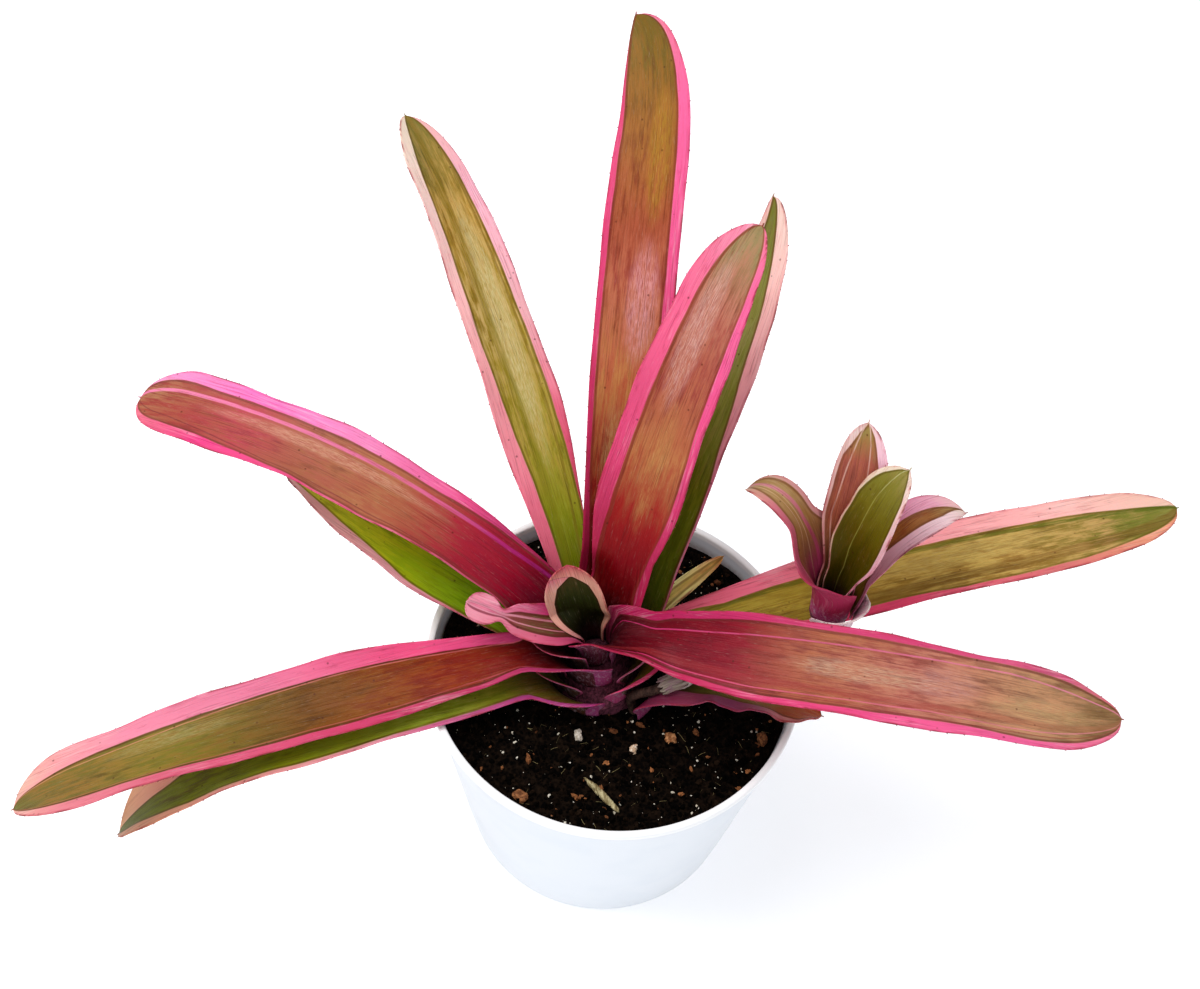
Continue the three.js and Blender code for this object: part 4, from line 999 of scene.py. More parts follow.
@dataclass
class Rosette:
    """A nest of leaf bases on one stem: place, lean, and how the bases stack, as in the part's source."""

    origin: tuple[float, float, float]
    ring: float
    pitch: float
    foot: float
    step: float
    flare: float
    flare_step: float
    lean: float = 0.0
    toward: float = 0.0
    lowest: float = 2.0
    spread: float = 5.0
    low: Ring = ((0.0, 60.0),)
    high: Ring = ((0.0, 60.0),)
    matrix: np.ndarray = field(init=False)

    def __post_init__(self) -> None:
        """Works out the rosette's place."""
        way = math.radians(self.toward)
        axis = Vector((-math.sin(way), math.cos(way), 0))
        turn = Matrix.Rotation(math.radians(self.lean), 4, axis)
        self.matrix = np.array(Matrix.Translation(self.origin) @ turn)

    def place(self, points: np.ndarray) -> np.ndarray:
        """Points of the rosette's own frame, in the part's."""
        return points @ self.matrix[:3, :3].T + self.matrix[:3, 3]

    def throat(self, leaf: LeafPlan) -> float:
        """Arc over which a leaf's base opens."""
        return leaf.throat if leaf.throat is not None else 2 + self.flare + self.flare_step * leaf.order

    @staticmethod
    def around(pairs: Ring, azimuth: np.ndarray) -> np.ndarray:
        """Value at each azimuth of a ring of pairs, eased between them."""
        start = pairs[0][0]
        a = np.mod(azimuth - start, 360) + start
        value = np.full_like(a, pairs[0][1])
        ends = (*pairs[1:], (start + 360, pairs[0][1]))
        for (a0, v0), (a1, v1) in zip(pairs, ends):
            value = np.where((a >= a0) & (a <= a1), mix(v0, v1, smooth(a, a0, a1)), value)
        return value

    def slope(self, leaf: LeafPlan, azimuth: np.ndarray) -> np.ndarray:
        """Slope of a base at the throat, in degrees."""
        if leaf.rise is not None:
            return np.full_like(azimuth, leaf.rise)
        share = min(max((leaf.order - self.lowest) / self.spread, 0), 1)
        return mix(self.around(self.low, azimuth), self.around(self.high, azimuth), share)

    def start(self, leaf: LeafPlan) -> tuple[float, float]:
        """Radius and height of a leaf's foot."""
        ring = leaf.ring if leaf.ring is not None else self.ring - self.pitch * leaf.order
        return ring, leaf.foot if leaf.foot is not None else self.foot + self.step * leaf.order

    def nest(self, leaf: LeafPlan, t: np.ndarray, azimuth: np.ndarray) -> np.ndarray:
        """Points of a leaf base's surface.

        Args:
            leaf: the leaf.
            t: arc above its foot, mm.
            azimuth: degrees, one for each t.

        Returns:
            Points, in the rosette's own frame.
        """
        exit_slope = self.slope(leaf, azimuth)
        ring, foot = self.start(leaf)
        r = np.full_like(t, ring)
        z = foot + np.minimum(t, 0)
        rising = np.maximum(t, 0)
        for i in range(NEST_STEPS):
            s = rising * (i + 0.5) / NEST_STEPS
            slope = np.radians(mix(STEM_SLOPE, exit_slope, smooth(s, 2, self.throat(leaf))))
            r = r + np.cos(slope) * rising / NEST_STEPS
            z = z + np.sin(slope) * rising / NEST_STEPS
        a = np.radians(azimuth)
        return np.stack([r * np.cos(a), r * np.sin(a), z], -1)

    def line(self, leaf: LeafPlan, t: np.ndarray) -> tuple[np.ndarray, ...]:
        """A leaf's middle line.

        Args:
            leaf: the leaf.
            t: arcs along it, mm.

        Returns:
            Share of the blade, points, and the two directions across it, at each arc.
        """
        throat = self.throat(leaf)
        exit_slope = float(self.slope(leaf, np.array([float(leaf.azimuth)]))[0])
        ring, foot = self.start(leaf)
        a = math.radians(leaf.azimuth)
        close = leaf.length * np.arange(LINE_STEPS + 1) / LINE_STEPS
        u = np.clip((close - throat) / (leaf.length - throat), 0, 1)
        opening = mix(STEM_SLOPE, exit_slope, smooth(close, 2, throat))
        slope = np.radians(opening + (leaf.tip - exit_slope) * u**leaf.droop)
        heading = np.radians(leaf.azimuth + leaf.bend * u**1.3)
        along = np.stack([np.cos(slope) * np.cos(heading), np.cos(slope) * np.sin(heading), np.sin(slope)], -1)
        start = np.array([ring * math.cos(a), ring * math.sin(a), foot])
        p = start + np.concatenate([[[0, 0, 0]], np.cumsum(along[:-1] * leaf.length / LINE_STEPS, 0)])
        side = np.stack([-np.sin(heading), np.cos(heading), 0 * heading], -1)
        return tuple(sampled(np.maximum(t, 0), close, values) for values in (u, p, side, np.cross(along, side)))

    def rows(self, leaf: LeafPlan) -> np.ndarray:
        """Arcs of a leaf's rows, closer towards the tip."""
        throat = self.throat(leaf)
        tip_start = mix(throat, leaf.length, 1 - leaf.round)
        n_base, n_tip = leaf.rows // 6, leaf.rows // 4
        ease = 1 - (1 - np.linspace(0, 1, n_tip + 1)[1:]) ** 1.8
        return np.concatenate([
            [-leaf.drop, -leaf.drop / 2] if leaf.drop else [],
            np.linspace(0, throat, n_base, endpoint=False),
            np.linspace(throat, tip_start, leaf.rows - n_base - n_tip),
            mix(tip_start, leaf.length, ease),
        ])

    def widths(self, leaf: LeafPlan, ts: np.ndarray, u: np.ndarray) -> tuple[np.ndarray, np.ndarray]:
        """Half width of a leaf at each row, and how far its middle shifts as the tip narrows."""
        throat = self.throat(leaf)
        sheath = leaf.sheath * (0.85 + 0.15 * smooth(ts, 0, throat * 0.4))
        blade = mix(leaf.neck, leaf.wide, smooth(u, -0.05, leaf.full))
        blade = blade * (1 - leaf.pinch * np.exp(-(((u - leaf.pinch_at) / 0.09) ** 2)))
        whole = mix(sheath, blade, smooth(ts, throat * leaf.opens[0], throat * leaf.opens[1]))
        tip_zone = leaf.round * (leaf.length - throat)
        in_tip = np.maximum((u - (1 - leaf.round)) / leaf.round, 0) * tip_zone / (tip_zone - leaf.point * 0.7)
        rounded = np.sqrt(np.maximum(1 - np.minimum(in_tip, 1) ** leaf.blunt, 0))
        left = leaf.length - ts
        point = np.where(left < leaf.point * 2, 0.12 + 0.45 * (left / (leaf.point * 2)) ** 1.2, 0)
        width = np.maximum(whole * rounded, point)
        return width, leaf.skew * (whole - width)

    def leaf(self, leaf: LeafPlan) -> Plate:
        """Lays out one leaf at a fine pitch."""
        throat, ts = self.throat(leaf), self.rows(leaf)
        u, middle, side, up = self.line(leaf, ts)
        to_blade = smooth(ts, throat * 0.75, throat * 0.75 + leaf.blend)
        roll = np.radians(mix(*leaf.rolls, u)) * to_blade
        cos, sin = np.cos(roll)[:, None], np.sin(roll)[:, None]
        side, up = side * cos + up * sin, up * cos - side * sin
        width, shift = self.widths(leaf, ts, u)
        channel = np.radians(mix(leaf.channel, leaf.channel_out, u))
        curve = (width / channel)[:, None]
        q = np.sin(np.linspace(-1, 1, leaf.cells + 1) * EDGE_CROWDING) / math.sin(EDGE_CROWDING)
        envelope = smooth(u, 0.08, 0.25) * (1 - smooth(u, 0.88, 1))
        phase = np.where(q > 0, 0.9, 2.4)
        ripple = np.sin(TURN * leaf.waves * u[:, None] + phase + leaf.order)
        flutter = FLUTTER * np.sin(TURN * leaf.waves * 2.7 * u[:, None] + phase * 2 + leaf.order * 1.7)
        lift = leaf.wave * np.abs(q) ** 3 * (ripple + flutter) * envelope[:, None]
        turned = q * channel[:, None]
        across = shift[:, None] + curve * np.sin(turned)
        raised = curve * (1 - np.cos(turned)) + lift
        grid = middle[:, None] + side[:, None] * across[..., None] + up[:, None] * raised[..., None]
        wrap = np.minimum(width / np.hypot(middle[:, 0], middle[:, 1]), WIDEST_WRAP)
        clasp = mix(leaf.clasp, 1, smooth(ts, throat * 0.7, throat * 1.5))
        turn = q * wrap[:, None] * np.where(q > 0, clasp[:, None], 1)
        base = self.nest(leaf, np.repeat(ts[:, None], len(q), 1), leaf.azimuth + np.degrees(turn))
        grid = mix(grid, base, (1 - to_blade)[:, None, None])
        rib = mix(RIB_THICK, MARGIN_THICK, smooth(u, 0.3, 1))[:, None]
        thickness = mix(SHEATH_THICK, mix(rib, MARGIN_THICK, q**2), to_blade[:, None])
        thickness = thickness * np.where(np.abs(q) > 0.995, 0.25, np.where(np.abs(q) > 0.97, 0.75, 1))
        thickness = thickness * mix(0.35, 1, smooth(leaf.length - ts, 0, leaf.point * 2))[:, None]
        return Plate.ruled(self.place(grid), thickness, np.maximum(ts, 0) / leaf.length, ts, q, width)


# Geometry Nodes


class Tree:
    """Builds one Geometry Nodes tree with named inputs."""

    kinds = {float: "NodeSocketFloat", int: "NodeSocketInt"}

    def __init__(self, name: str, **inputs: float) -> None:
        """Starts a tree.

        Args:
            name: the tree's name.
            **inputs: values of the tree's own inputs.
        """
        self.group = bpy.data.node_groups.new(name, "GeometryNodeTree")
        face = self.group.interface
        face.new_socket("Geometry", in_out="INPUT", socket_type="NodeSocketGeometry")
        face.new_socket("Geometry", in_out="OUTPUT", socket_type="NodeSocketGeometry")
        self.values = {}
        for label, value in inputs.items():
            socket = face.new_socket(label, in_out="INPUT", socket_type=self.kinds[type(value)])
            self.values[socket.identifier] = value
        self.start = self.group.nodes.new("NodeGroupInput").outputs
        self.end = self.group.nodes.new("NodeGroupOutput")

    def node(
        self, kind: str, settings: dict | None = None, inputs: dict | None = None, out: str = ""
    ) -> NodeSocket:
        """Adds any node, as add_node does."""
        return add_node(self.group, kind, settings, inputs, out)

    def maths(self, operation: str, a: NodeSocket | float, b: NodeSocket | float = 0.0) -> NodeSocket:
        """Adds a Math node."""
        return self.node("ShaderNodeMath", {"operation": operation}, {"Value": a, "Value_001": b})

    def scaled(self, vector: NodeSocket, factor: NodeSocket) -> NodeSocket:
        """A vector times a number."""
        return self.node("ShaderNodeVectorMath", {"operation": "SCALE"}, {"Vector": vector, "Scale": factor})

    def chance(self, low: float, high: float, seed: int) -> NodeSocket:
        """Random number for each point."""
        inputs = {"Min_001": low, "Max_001": high, "Seed": seed}
        return self.node("FunctionNodeRandomValue", {"data_type": "FLOAT"}, inputs)

    def any_turn(
        self, seed: int, low: tuple = (0, 0, 0), high: tuple = (FULL_TURN,) * 3
    ) -> NodeSocket:
        """Random turn about all axes."""
        inputs = {"Min": low, "Max": high, "Seed": seed}
        return self.node("FunctionNodeRandomValue", {"data_type": "FLOAT_VECTOR"}, inputs)

    def scattered(self) -> NodeSocket:
        """Random points on the start surface, by the tree's Count and Seed."""
        inputs = {"Mesh": self.start["Geometry"], "Density": self.start["Count"], "Seed": self.start["Seed"]}
        settings = {"distribute_method": "RANDOM"}
        return self.node("GeometryNodeDistributePointsOnFaces", settings, inputs, "Points")

    def spaced(self, pitch: str) -> NodeSocket:
        """The start's lines as curves, resampled at the pitch that an input gives."""
        curve = self.node("GeometryNodeMeshToCurve", {}, {"Mesh": self.start["Geometry"]})
        inputs = {"Curve": curve, "Length": self.start[pitch]}
        return self.node("GeometryNodeResampleCurve", {"mode": "LENGTH"}, inputs)

    def swept(self, curve: NodeSocket, sides: int, radius: NodeSocket | float) -> NodeSocket:
        """Closed tube along a curve."""
        size = {"Resolution": sides, "Radius": radius}
        ring = self.node("GeometryNodeCurvePrimitiveCircle", {}, size, "Curve")
        inputs = {"Curve": curve, "Profile Curve": ring, "Fill Caps": True}
        return self.node("GeometryNodeCurveToMesh", {}, inputs)

    def placed(
        self, points: NodeSocket, shape: NodeSocket, rotation: NodeSocket, scale: NodeSocket,
        **more: NodeSocket | bool,
    ) -> NodeSocket:
        """Instances of a shape on points."""
        inputs = {"Points": points, "Instance": shape, "Rotation": rotation, "Scale": scale}
        inputs |= {key.replace("_", " "): value for key, value in more.items()}
        return self.node("GeometryNodeInstanceOnPoints", {}, inputs)

    def tinted(self, geometry: NodeSocket, seed: int) -> NodeSocket:
        """Gives each instance a random tint."""
        settings = {"data_type": "FLOAT", "domain": "INSTANCE"}
        inputs = {"Geometry": geometry, "Name": "tint", "Value": self.chance(0, 1, seed)}
        return self.node("GeometryNodeStoreNamedAttribute", settings, inputs)

    def finish(self, geometry: NodeSocket, material: Material) -> "Tree":
        """Ends the tree in Realize Instances and Set Material."""
        real = self.node("GeometryNodeRealizeInstances", {}, {"Geometry": geometry})
        painted = self.node("GeometryNodeSetMaterial", {}, {"Geometry": real, "Material": material})
        self.group.links.new(painted, self.end.inputs[0])
        return self

    def grown(self, base: Mesh, name: str, material: Material) -> Object:
        """Runs the tree on a mesh and keeps the plain result.

        Args:
            base: the mesh that it starts from.
            name: the new piece's name.
            material: the finish that Set Material gives it.

        Returns:
            The piece, with no modifier left.
        """
        host = linked(name + "_host", base)
        modifier = host.modifiers.new(name, "NODES")
        modifier.node_group = self.group
        for identifier, value in self.values.items():
            modifier[identifier] = value
        mesh = evaluated(host)
        bpy.data.objects.remove(host)
        mesh.name = name
        if not mesh.materials:
            mesh.materials.append(material)
        return linked(name, mesh)


@dataclass(frozen=True)
class Lumps:
    """Lumps strewn over a surface: how many to a square metre, radii in metres, and their look.

    flat is a lump's height as a share of its width, and power says how rare the large ones are.
    """

    name: str
    count: float
    least: float
    most: float
    flat: float
    power: float
    seed: int
    faces: int
    kinds: int = 4

    def shape(self, tree: Tree, k: int) -> NodeSocket:
        """One kind of lump: a ball that noise pushes in and out."""
        ball = tree.node("GeometryNodeMeshIcoSphere", {}, {"Radius": 1.0, "Subdivisions": self.faces}, "Mesh")
        where = tree.node("GeometryNodeInputPosition")
        shift = {"Vector": where, "Vector_001": (k * 7.3, k, self.seed)}
        moved = tree.node("ShaderNodeVectorMath", {"operation": "ADD"}, shift)
        bumps = tree.node("ShaderNodeTexNoise", {}, {"Vector": moved, "Scale": 1.1, "Detail": 1.0}, "Fac")
        push = tree.scaled(where, tree.maths("MULTIPLY", tree.maths("SUBTRACT", bumps, 0.5), 2.2))
        lump = tree.node("GeometryNodeSetPosition", {}, {"Geometry": ball, "Offset": push})
        return tree.node("GeometryNodeGeometryToInstance", {}, {"Geometry": lump})

    def tree(self, material: Material) -> Tree:
        """Tree that strews them."""
        tree = Tree(self.name, Count=self.count, Smallest=self.least, Largest=self.most, Seed=self.seed)
        points = tree.scattered()
        shapes = [self.shape(tree, k) for k in range(self.kinds)]
        kinds = tree.node("GeometryNodeJoinGeometry", {}, {"Geometry": shapes})
        draw = tree.maths("POWER", tree.chance(0, 1, self.seed + 1), self.power)
        spread = tree.maths("SUBTRACT", tree.start["Largest"], tree.start["Smallest"])
        size = tree.maths("ADD", tree.maths("MULTIPLY", draw, spread), tree.start["Smallest"])
        long = tree.maths("MULTIPLY", size, tree.chance(0.8, 1.5, self.seed + 2))
        high = tree.maths("MULTIPLY", size, self.flat)
        scale = tree.node("ShaderNodeCombineXYZ", {}, {"X": long, "Y": size, "Z": high})
        which = {"Min_002": 0, "Max_002": self.kinds - 1, "Seed": self.seed + 3}
        index = tree.node("FunctionNodeRandomValue", {"data_type": "INT"}, which)
        turn = tree.any_turn(self.seed + 4)
        placed = tree.placed(points, kinds, turn, scale, Pick_Instance=True, Instance_Index=index)
        return tree.finish(tree.tinted(placed, self.seed + 5), material)


def fibre_tree(material: Material) -> Tree:
    """Tree that lays short bent fibres over a surface."""
    tree = Tree("soil_fibre_tree", Count=20000.0, Length=0.0036, Seed=17)
    bend = {"Resolution": 6, "Start": (-0.5, 0, 0), "Start Handle": (-0.2, 0.07, 0.06)}
    bend |= {"End Handle": (0.25, -0.06, 0.05), "End": (0.5, 0.03, 0)}
    bow = tree.node("GeometryNodeCurvePrimitiveBezierSegment", {}, bend)
    tilt = tree.any_turn(21, (-0.25, -0.25, 0), (0.25, 0.25, FULL_TURN))
    long = tree.maths("MULTIPLY", tree.start["Length"], tree.chance(0.35, 1.2, 22))
    placed = tree.placed(tree.scattered(), tree.swept(bow, 4, 0.02), tilt, long)
    return tree.finish(tree.tinted(placed, 23), material)


def spine_tree(material: Material) -> Tree:
    """Tree that sets small spines along margin lines, pointing along their "outward" attribute."""
    tree = Tree("margin_spine_tree", Spacing=0.0048, Length=0.0006, Foot=0.00016)
    cone = {"Vertices": 5, "Side Segments": 1, "Radius Top": 0.0}
    cone |= {"Radius Bottom": tree.start["Foot"], "Depth": tree.start["Length"]}
    thorn = tree.node("GeometryNodeMeshCone", {}, cone, "Mesh")
    stored = {"data_type": "FLOAT_VECTOR"}
    outward = tree.node("GeometryNodeInputNamedAttribute", stored, {"Name": "outward"}, "Attribute")
    aligned = tree.node("FunctionNodeAlignRotationToVector", {"axis": "Z"}, {"Vector": outward})
    placed = tree.placed(tree.spaced("Spacing"), thorn, aligned, tree.chance(0.45, 1.25, 31))
    return tree.finish(placed, material)


def tube_tree(material: Material) -> Tree:
    """Tree that draws a knobbly tube along a line."""
    tree = Tree("runner_tube_tree", Radius=0.0019, Pitch=0.0008)
    tube = tree.swept(tree.spaced("Pitch"), 20, tree.start["Radius"])
    where = tree.node("GeometryNodeInputPosition")
    rough = tree.node("ShaderNodeTexNoise", {}, {"Vector": where, "Scale": 420.0, "Detail": 2.0}, "Fac")
    push = tree.scaled(tree.node("GeometryNodeInputNormal"), tree.maths("MULTIPLY", rough, -0.0005))
    worn = tree.node("GeometryNodeSetPosition", {}, {"Geometry": tube, "Offset": push})
    return tree.finish(tree.node("GeometryNodeSetShadeSmooth", {}, {"Geometry": worn}), material)


# Sub-assemblies


def linked(name: str, data: bpy.types.ID) -> Object:
    """Object of a mesh, camera or lamp, in the scene."""
    made = bpy.data.objects.new(name, data)
    bpy.context.scene.collection.objects.link(made)
    return made


def evaluated(host: Object) -> Mesh:
    """Plain mesh of an object as its modifiers make it; the modifiers are then removed."""
    bpy.context.view_layer.update()
    graph = bpy.context.evaluated_depsgraph_get()
    mesh = bpy.data.meshes.new_from_object(host.evaluated_get(graph))
    host.modifiers.clear()
    return mesh


def dress(
    piece: Object, material: Material | None, slot: str, *nodes: str
) -> Object:
    """Gives a piece of the part its finish and body.

    Args:
        piece: the object, in the part's frame.
        material: its finish, or None if it has one.
        slot: the record's material slot; not used.
        *nodes: CAD nodes that it stands for, which are hidden.

    Returns:
        The object.
    """
    if material is not None:
        piece.data.materials.clear()
        piece.data.materials.append(material)
    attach(piece, "root")
    if nodes:
        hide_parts(*nodes)
    log.info("%s: %d faces", piece.name, len(piece.data.polygons))
    return piece


def circle(radius: float, z: float, sides: int) -> list[tuple[float, float, float]]:
    """Points of a level circle."""
    turns = (TURN * j / sides for j in range(sides))
    return [(radius * math.cos(a), radius * math.sin(a), z) for a in turns]


def closed(name: str, points: list, faces: list) -> Mesh:
    """Mesh of points in millimetres, with doubles merged and faces outward."""
    mesh = bpy.data.meshes.new(name)
    mesh.from_pydata([Vector(p) * MM for p in points], [], faces)
    work = bmesh.new()
    work.from_mesh(mesh)
    bmesh.ops.remove_doubles(work, verts=work.verts, dist=MERGE)
    bmesh.ops.recalc_face_normals(work, faces=work.faces)
    work.to_mesh(mesh)
    work.free()
    mesh.shade_smooth()
    return mesh


@dataclass
class Pot:
    """Round thin-walled pot with a rolled rim and drain holes."""

    height: float = 98.0
    rim_height: float = 2.6
    wall_top: float = 62.3
    floor: float = 1.8
    holes: int = 8
    hole_radius: float = 2.75
    hole_circle: float = 34.0
    hole_turn: float = 22.5
    sides: int = 168

    def profile(self) -> list[tuple[float, float]]:
        """The wall's section as (radius, height), from the middle of the underside round to the floor."""
        top, lip, wall = self.height, self.height - self.rim_height, self.wall_top
        outside = [(0, 0), (20, 0), (46.6, 0)]
        for i in range(7):
            a = math.radians(-90 + 80 * i / 6)
            outside.append((47.1 + 3.0 * math.cos(a), 3.05 + 3.0 * math.sin(a)))
        for i in range(1, 9):
            z = mix(3.6, lip - 1.2, i / 8)
            outside.append((mix(50.35, wall - 0.08, (z - 3.0) / (lip - 3.6)), z))
        rim = [(wall + 0.1, lip - 0.6), (wall + 0.5, lip - 0.25), (63.2, lip), (63.45, lip + 0.35)]
        rim += [(63.5, lip + 0.8), (63.5, top - 0.9)]
        for i in range(1, 7):
            a = math.radians(90 * i / 6)
            rim.append((62.7 + 0.8 * math.cos(a), top - 0.8 + 0.8 * math.sin(a)))
        rim += [(61.9, top), (61.4, top - 0.15), (61.1, top - 0.45), (61.0, top - 0.9)]
        inside = [(mix(61.0, 49.0, f), mix(top - 0.9, 3.6, f)) for f in (0.06, 0.12, 0.3, 0.6, 0.9, 1.0)]
        return outside + rim + inside + [(48.4, 2.3), (47.2, self.floor), (20, self.floor), (0, self.floor)]

    def drill(self) -> Object:
        """Cutter of the drain holes."""
        work = bmesh.new()
        radius, out = self.hole_radius * MM, self.hole_circle * MM
        for i in range(self.holes):
            a = math.radians(360 * i / self.holes + self.hole_turn)
            at = Matrix.Translation((out * math.cos(a), out * math.sin(a), 0))
            bmesh.ops.create_cone(
                work, cap_ends=True, segments=24, radius1=radius, radius2=radius, depth=0.009, matrix=at
            )
        cutter = bpy.data.meshes.new("drain_cutter")
        work.to_mesh(cutter)
        work.free()
        return linked("drain_cutter", cutter)

    def build(self) -> Object:
        """Turns the section and drills the drain holes."""
        section = self.profile()
        points = [point for r, z in section for point in circle(r, z, self.sides)]
        faces = []
        for a in range(0, (len(section) - 1) * self.sides, self.sides):
            for j in range(self.sides):
                k = (j + 1) % self.sides
                faces.append((a + j, a + k, a + self.sides + k, a + self.sides + j))
        pot = linked("pot_shell", closed("pot_shell", points, faces))
        drill = self.drill()
        cut = pot.modifiers.new("drain", "BOOLEAN")
        cut.operation, cut.object, cut.solver = "DIFFERENCE", drill, "EXACT"
        pot.data = evaluated(pot)
        bpy.data.objects.remove(drill)
        pot.data.shade_smooth()
        pot.data.set_sharp_from_angle(angle=math.radians(50))
        return dress(pot, MouldedPlastic().material("white_plastic"), "white_plastic", "pot")


@dataclass
class Soil:
    """The fill: a solid with an uneven top, and the crumbs, grains and fibres that lie on it."""

    level: float = 90.2
    relief: float = 0.7
    rings: int = 72
    sides: int = 180
    foot_radius: float = 46.8
    foot: float = 2.2
    bevel: float = 4.2

    def wall(self, z: float) -> float:
        """Radius of the fill at a height."""
        return mix(49.0, 61.0, (z - 3) / 95) - 0.4

    def height(self, x: float, y: float) -> float:
        """Height of the top, with clods at three sizes."""
        rolling = 0.55 * math.sin(x / 5.1 + 0.4) * math.cos(y / 6.3 - 0.8) + 0.3 * math.sin((x + y) / 3.4 + 1.3)
        rolling += 0.25 * math.cos((x - 1.6 * y) / 4.3)
        clods = noise.fractal(Vector((x * 0.22, y * 0.22, 3.0)), 0.8, 2.1, 4) * 0.9
        return self.level + self.relief * rolling + clods

    def top_grid(self, reach: float = 1.0) -> tuple[list, list]:
        """Points and faces of the top, out to a share of its radius."""
        radius = self.wall(self.level) * reach
        points = [(0.0, 0.0, self.height(0, 0))]
        for i in range(1, self.rings + 1):
            points += [(x, y, self.height(x, y)) for x, y, _ in circle(radius * i / self.rings, 0, self.sides)]
        faces = []
        for j in range(self.sides):
            k = (j + 1) % self.sides
            faces.append((0, 1 + j, 1 + k))
            for i in range(self.rings - 1):
                a, b = 1 + i * self.sides, 1 + (i + 1) * self.sides
                faces.append((a + j, b + j, b + k, a + k))
        return points, faces

    def build(self, finish: PottingSoil) -> Object:
        """The solid fill."""
        points, faces = self.top_grid()
        last = len(points) - self.sides
        for radius, z in ((self.wall(self.bevel), self.bevel), (self.foot_radius, self.foot)):
            first = len(points)
            points += circle(radius, z, self.sides)
            for j in range(self.sides):
                k = (j + 1) % self.sides
                faces.append((last + j, first + j, first + k, last + k))
            last = first
        points.append((0, 0, self.foot))
        faces += [(last + j, len(points) - 1, last + (j + 1) % self.sides) for j in range(self.sides)]
        fill = linked("soil_fill", closed("soil_fill", points, faces))
        return dress(fill, finish.material("potting_soil"), "potting_soil", "soil")

    def dress(self, finish: PottingSoil) -> None:
        """Scatters what lies on the top."""
        top = closed("soil_top", *self.top_grid(0.985))
        loose = finish.material("soil_crumb", loose=True)
        pale = Speckled("#c9bfa8", "#efe9dc", own_tint=True).material("perlite_speck")
        bark = Speckled("#5a331c", "#b0764a", own_tint=True).material("bark_bit")
        straw = Speckled("#3a301e", "#a89a6c", own_tint=True).material("straw")
        crumbs = Lumps("soil_crumb_tree", 420000.0, 0.00022, 0.0013, 0.75, 2.6, 5, 1)
        specks = Lumps("perlite_tree", 42000.0, 0.0001, 0.00062, 0.8, 2.8, 9, 2)
        bits = Lumps("bark_tree", 13000.0, 0.0003, 0.0015, 0.6, 2.4, 14, 2)
        for name, tree, material, slot in (
            ("soil_crumbs", crumbs.tree(loose), loose, "potting_soil"),
            ("perlite_specks", specks.tree(pale), pale, "perlite"),
            ("bark_bits", bits.tree(bark), bark, "brown_bark"),
            ("soil_fibres", fibre_tree(straw), straw, "pale_bark"),
        ):
            dress(tree.grown(top.copy(), name, material), None, slot)
        bpy.data.meshes.remove(top)


@dataclass
class Chips:
    """The larger bits in the soil, each a roughened copy of its CAD lump."""

    finishes: dict[str, tuple[Speckled, str]] = field(default_factory=lambda: {
        "bark_stick": (Speckled("#7c6c48", "#c8bc94", 4.0), "pale_bark"),
        "bark_chip_front": (Speckled("#8a5732", "#cf9a6c"), "brown_bark"),
        "bark_chip_right": (Speckled("#5c3820", "#9a6a44"), "brown_bark"),
        "bark_chip_left": (Speckled("#6e452a", "#b47c52"), "brown_bark"),
        "perlite_left": (Speckled("#b8a894", "#e8e0d4"), "perlite"),
        "perlite_middle": (Speckled("#c9a888", "#f0e0cc"), "perlite"),
    })

    def build(self) -> None:
        """Roughens and dresses every bit."""
        for node, (finish, slot) in self.finishes.items():
            work = bmesh.new()
            work.from_mesh(frame["nodes"][node].data)
            bmesh.ops.remove_doubles(work, verts=work.verts, dist=MERGE)
            bmesh.ops.subdivide_edges(work, edges=work.edges, cuts=2, use_grid_fill=True)
            middle = sum((v.co for v in work.verts), Vector()) / len(work.verts)
            for v in work.verts:
                rough = noise.fractal(v.co * 700, 0.7, 2.2, 3) * 0.16 - 0.05
                v.co += (v.co - middle) * rough
            bmesh.ops.triangulate(work, faces=work.faces)
            mesh = bpy.data.meshes.new(node + "_rough")
            work.to_mesh(mesh)
            work.free()
            mesh.shade_smooth()
            mesh.set_sharp_from_angle(angle=math.radians(38))
            dress(linked(mesh.name, mesh), finish.material(node), slot, node)


@dataclass
class Foliage:
    """All the leaves of one rosette."""

    nest: Rosette
    plans: tuple[LeafPlan, ...]
    slots: dict[str, str]
    bract: PaperyScale = PaperyScale("#dcc4c8", "#9c6c7c", "#dc9cb0", seed=61)
    edges: list = field(default_factory=list)

    def build(self) -> None:
        """Builds and dresses every leaf, and keeps its margins for the spines."""
        for plan in self.plans:
            plate = self.nest.leaf(plan)
            piece = linked(plan.node + "_blade", plate.mesh(plan.node + "_blade"))
            finish = FINISHES.get(plan.node, self.bract)
            dress(piece, finish.material(plan.node), self.slots[plan.node], plan.node)
            if plan.node not in SPINELESS:
                self.edges += self.margins(plate, plan)

    @staticmethod
    def margins(plate: Plate, plan: LeafPlan) -> list[tuple[np.ndarray, np.ndarray]]:
        """Margin lines of a blade and the way out from each of their points."""
        first = len(plate.points) // 7
        last = len(plate.points) - (2 if plan.node == "leaf_heart_arched" else 8)
        lines = []
        for edge, inner in ((0, 1), (-1, -2)):
            line = plate.points[first:last, edge]
            out = unit(line - plate.points[first:last, inner]) + unit(np.gradient(line, axis=0)) * 0.7
            lines.append((line, out))
        return lines


